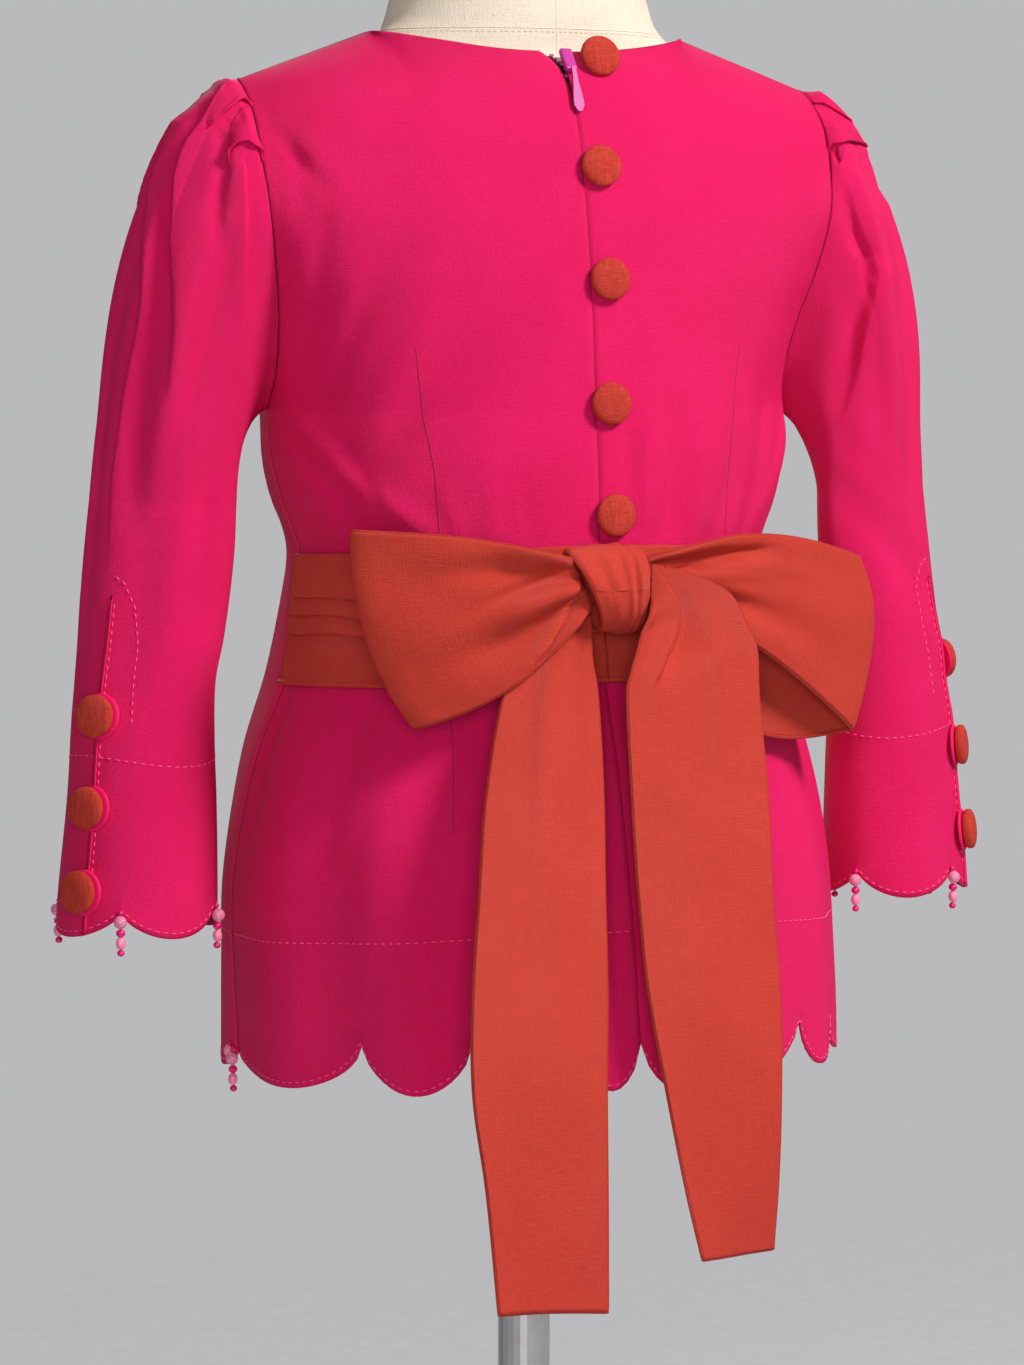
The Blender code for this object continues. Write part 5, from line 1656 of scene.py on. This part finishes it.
# %% Bead drops
Bead = namedtuple("Bead", "down radius tall finish")
DROP_BEADS = (
    Bead(1.6, 1.3, 0.9, magenta_glass),
    Bead(5.8, 3.0, 1.0, clear_glass),
    Bead(10.8, 2.1, 0.9, magenta_glass),
    Bead(15.4, 2.2, 1.3, rose_glass),
    Bead(19.8, 1.7, 0.9, magenta_glass),
)
SHORT_DROP = (
    Bead(1.4, 1.1, 0.9, magenta_glass),
    Bead(4.6, 2.2, 1.2, rose_glass),
    Bead(8.2, 1.2, 0.9, magenta_glass),
)
THREAD = 0.22


def ball(work, centre, sizes, material, u_segments, v_segments):
    """A sphere in an open bmesh, with its own size on each axis."""
    where = Matrix.Translation(Vector(place(centre))) @ Matrix.Diagonal((*(size * MM for size in sizes), 1))
    made = bmesh.ops.create_uvsphere(
        work, u_segments=u_segments, v_segments=v_segments, radius=1, matrix=where,
    )
    for vert in made["verts"]:
        for face in vert.link_faces:
            face.material_index = material


def bead_drop(name, top, out, beads):
    """Beads hanging from a place on an edge, just outside the cloth."""
    work = bmesh.new()
    finishes = []
    start = np.array(top) + out * 0.9
    for bead in beads:
        if bead.finish not in finishes:
            finishes.append(bead.finish)
        centre = start + out * (bead.radius - 0.9) * 0.6 - np.array((0, 0, bead.down))
        sizes = (bead.radius, bead.radius, bead.radius * bead.tall)
        ball(work, centre, sizes, finishes.index(bead.finish), 18, 11)
    low = start - np.array((0, 0, beads[-1].down))
    shaft = Matrix.Translation(Vector(place((start + low) / 2)))
    height = (beads[-1].down + 1.2) * MM
    bmesh.ops.create_cone(
        work, cap_ends=True, segments=8, radius1=THREAD * MM, radius2=THREAD * MM, depth=height, matrix=shaft,
    )
    mesh = bpy.data.meshes.new(name)
    work.to_mesh(mesh)
    work.free()
    for finish in finishes:
        mesh.materials.append(finish)
    mesh.shade_smooth()
    return fit(add(name, mesh), "zip_plastic")


for side, word in ((1, "left"), (-1, "right")):
    cloth = SLEEVES[word]
    for number, column in enumerate((-1, 6, 12, 19), 1):
        turn = column * 360 / SLEEVE_COLUMNS
        turn = turn if turn > VENT_AROUND else turn + 360
        point, out = spot(cloth, turn, CUFF_JOIN + 1.2)
        bead_drop(f"cuff_drop_{word}_{number}", point, out, DROP_BEADS)
for number, turn in enumerate(HEM_FRONT[2:-2], 1):
    point, out = spot(FRONT, turn, -323.5)
    bead_drop(f"hem_drop_{number}", point, out, DROP_BEADS)
SIDE_DROPS = ((90.8, DROP_BEADS), (93.5, SHORT_DROP), (269.2, DROP_BEADS), (266.5, SHORT_DROP))
for number, (turn, beads) in enumerate(SIDE_DROPS, 7):
    point, out = spot(FRONT, turn, -338.5 if number % 2 else -337)
    bead_drop(f"hem_drop_{number}", point, out, beads)

# %% [markdown]
# ## Dress form and stand
# The form is a foam shape in a tight linen cover. The cover is closed with a seam down the back
# and a stitched ring round the neck, which is the part that shows. The seam and the ring are found
# by casting rays at the finished cover, so they lie on it wherever its curves go.

# %% Dress form
linen_body = bpy.data.objects["dress_form"]
mesh = linen_body.data.copy()
mesh.name = "linen_cover"
mesh.materials.clear()
mesh.materials.append(linen)
mesh.transform(linen_body.matrix_world)
mesh.shade_smooth()
cover = add("linen_cover", mesh)
work = bmesh.new()
work.from_mesh(mesh)
bmesh.ops.remove_doubles(work, verts=work.verts, dist=1e-5)
work.to_mesh(mesh)
work.free()
soft = cover.modifiers.new("smooth", "SUBSURF")
soft.levels = soft.render_levels = 2
fit(cover, "form_linen", "dress_form")
print("linen cover faces:", len(mesh.polygons))

# %% Seam and ring of the cover
NECK_MIDDLE, RING, STITCH_DROP = -7.0, 133.5, 1.6
bpy.context.view_layer.update()
evaluated_cover = cover.evaluated_get(bpy.context.evaluated_depsgraph_get())


def on_cover(turn, height, grow):
    """Where a level line at an angle round the neck meets the linen cover, seen from outside."""
    way = np.array((math.sin(turn), math.cos(turn), 0.0))
    middle = np.array((0, NECK_MIDDLE, height))
    start = place(middle + way * 200)
    hit, point, _, _ = evaluated_cover.ray_cast(start.tolist(), (-way).tolist())
    return np.array(point) / MM - (0, 0, BUST_LINE) + way * grow if hit else middle + way * 50


turns = np.linspace(0, 2 * math.pi, 181)
ring_line = np.array([on_cover(turn, RING, 0.05) for turn in turns])
ring_stitches = np.array([on_cover(turn, RING - STITCH_DROP, 0.2) for turn in turns])
ring_outs = ring_stitches - (0, NECK_MIDDLE, RING - STITCH_DROP)
fit(spindles("linen_ring_stitches", [(ring_stitches, ring_outs)], linen_thread, 1.6, 1.2, 0.13), "form_linen")
back_seam = np.array([on_cover(0.0, height, 0.0) for height in np.linspace(118, 176, 40)])
fit(cord_line("linen_seams", [back_seam, ring_line], 0.22, linen_thread), "form_linen")
for node, finish in (("base", wood), ("pole", steel)):
    soften(node, finish, 1.2)

# %% [markdown]
# ## Camera, light and floor
# The photograph was taken a good two metres away with the horizon above its middle, a little to
# the wearer's left of the centre back, so the camera is turned by the same 22 degrees as the folds
# that were drawn in the picture, and is shifted rather than tipped to keep the uprights upright.

# %% Camera
CAMERA_PLACE = Vector((0.7732, 1.8986, 0.660))
AIM = Vector((-math.sin(LOOK), -math.cos(LOOK), 0))
HORIZON_RISE, FOCAL, SHIFT, PICTURE_TALL = 366.5, 4315.0, -0.12, 1365
tilt = math.atan((HORIZON_RISE + SHIFT * PICTURE_TALL) / FOCAL)
lens = bpy.data.cameras.new("photo view")
lens.lens, lens.sensor_width, lens.shift_y = 113.8, 36, SHIFT
camera = add("photo view", lens)
camera.location = CAMERA_PLACE
camera.rotation_euler = (AIM - Vector((0, 0, math.tan(tilt)))).to_track_quat("-Z", "Y").to_euler()
bpy.context.scene.camera = camera
print("camera looks down by", round(math.degrees(tilt), 2), "degrees")

# %% [markdown]
# The light is one soft source high on the picture's right, a weaker one from behind the camera and a
# faint one on the far side. The room is pale to the camera and dimmer to the cloth, so the folds keep
# their shade.

# %% Light
def area_light(name, where, target, size, power, tint):
    data = bpy.data.lights.new(name, "AREA")
    data.shape, data.size, data.energy, data.color = "DISK", size, power, tint
    made = add(name, data)
    made.location = where
    made.rotation_euler = (Vector(target) - Vector(where)).to_track_quat("-Z", "Y").to_euler()


area_light("window light", (-1.3, 1.6, 2.35), (0, 0, 0.55), 0.7, 86, (1, 0.985, 0.98))
area_light("soft fill", (1.0, 2.4, 0.8), (0, 0, 0.5), 1.4, 29, (0.98, 0.98, 1))
area_light("far side", (-0.4, -2.4, 1.6), (0, 0, 0.5), 1.6, 20, (1, 1, 1))
world = bpy.data.worlds.new("pale room")
bpy.context.scene.world = world
world.use_nodes = True
seen = world.node_tree.nodes["Background"]
seen.inputs["Color"].default_value = (0.49, 0.49, 0.505, 1)
ambient = world.node_tree.nodes.new("ShaderNodeBackground")
ambient.inputs["Color"].default_value = (0.19, 0.19, 0.2, 1)
rays = world.node_tree.nodes.new("ShaderNodeLightPath")
either = world.node_tree.nodes.new("ShaderNodeMixShader")
world.node_tree.links.new(rays.outputs["Is Camera Ray"], either.inputs[0])
world.node_tree.links.new(ambient.outputs[0], either.inputs[1])
world.node_tree.links.new(seen.outputs[0], either.inputs[2])
world.node_tree.links.new(either.outputs[0], world.node_tree.nodes["World Output"].inputs["Surface"])
bpy.context.scene.view_settings.view_transform = "Standard"
print("lights:", len(bpy.data.lights))

# %% [markdown]
# The floor is a pale disc that fades out into the room, so it catches a shadow and has no edge.

# %% Floor
def floor_finish():
    made, tree, shader = shader_of("pale floor")
    where = tree.nodes.new("ShaderNodeTexCoord").outputs["Object"]
    specks = noise(tree, where, 60.0)
    shades = ramp(tree, specks, (0.3, (0.50, 0.50, 0.51)), (0.7, (0.53, 0.53, 0.54)))
    tree.links.new(shades, shader.inputs["Base Color"])
    shader.inputs["Roughness"].default_value = 0.85
    reach = tree.nodes.new("ShaderNodeVectorMath")
    reach.operation = "LENGTH"
    tree.links.new(where, reach.inputs[0])
    fade = tree.nodes.new("ShaderNodeMapRange")
    fade.inputs["From Min"].default_value, fade.inputs["From Max"].default_value = 0.5, 1.5
    fade.inputs["To Min"].default_value, fade.inputs["To Max"].default_value = 1.0, 0.0
    tree.links.new(reach.outputs["Value"], fade.inputs["Value"])
    tree.links.new(fade.outputs[0], shader.inputs["Alpha"])
    return made


bpy.ops.mesh.primitive_circle_add(vertices=96, radius=1.6, fill_type="NGON", location=(0, 0, -0.0005))
floor = bpy.context.object
floor.name = "floor"
floor.data.materials.append(floor_finish())
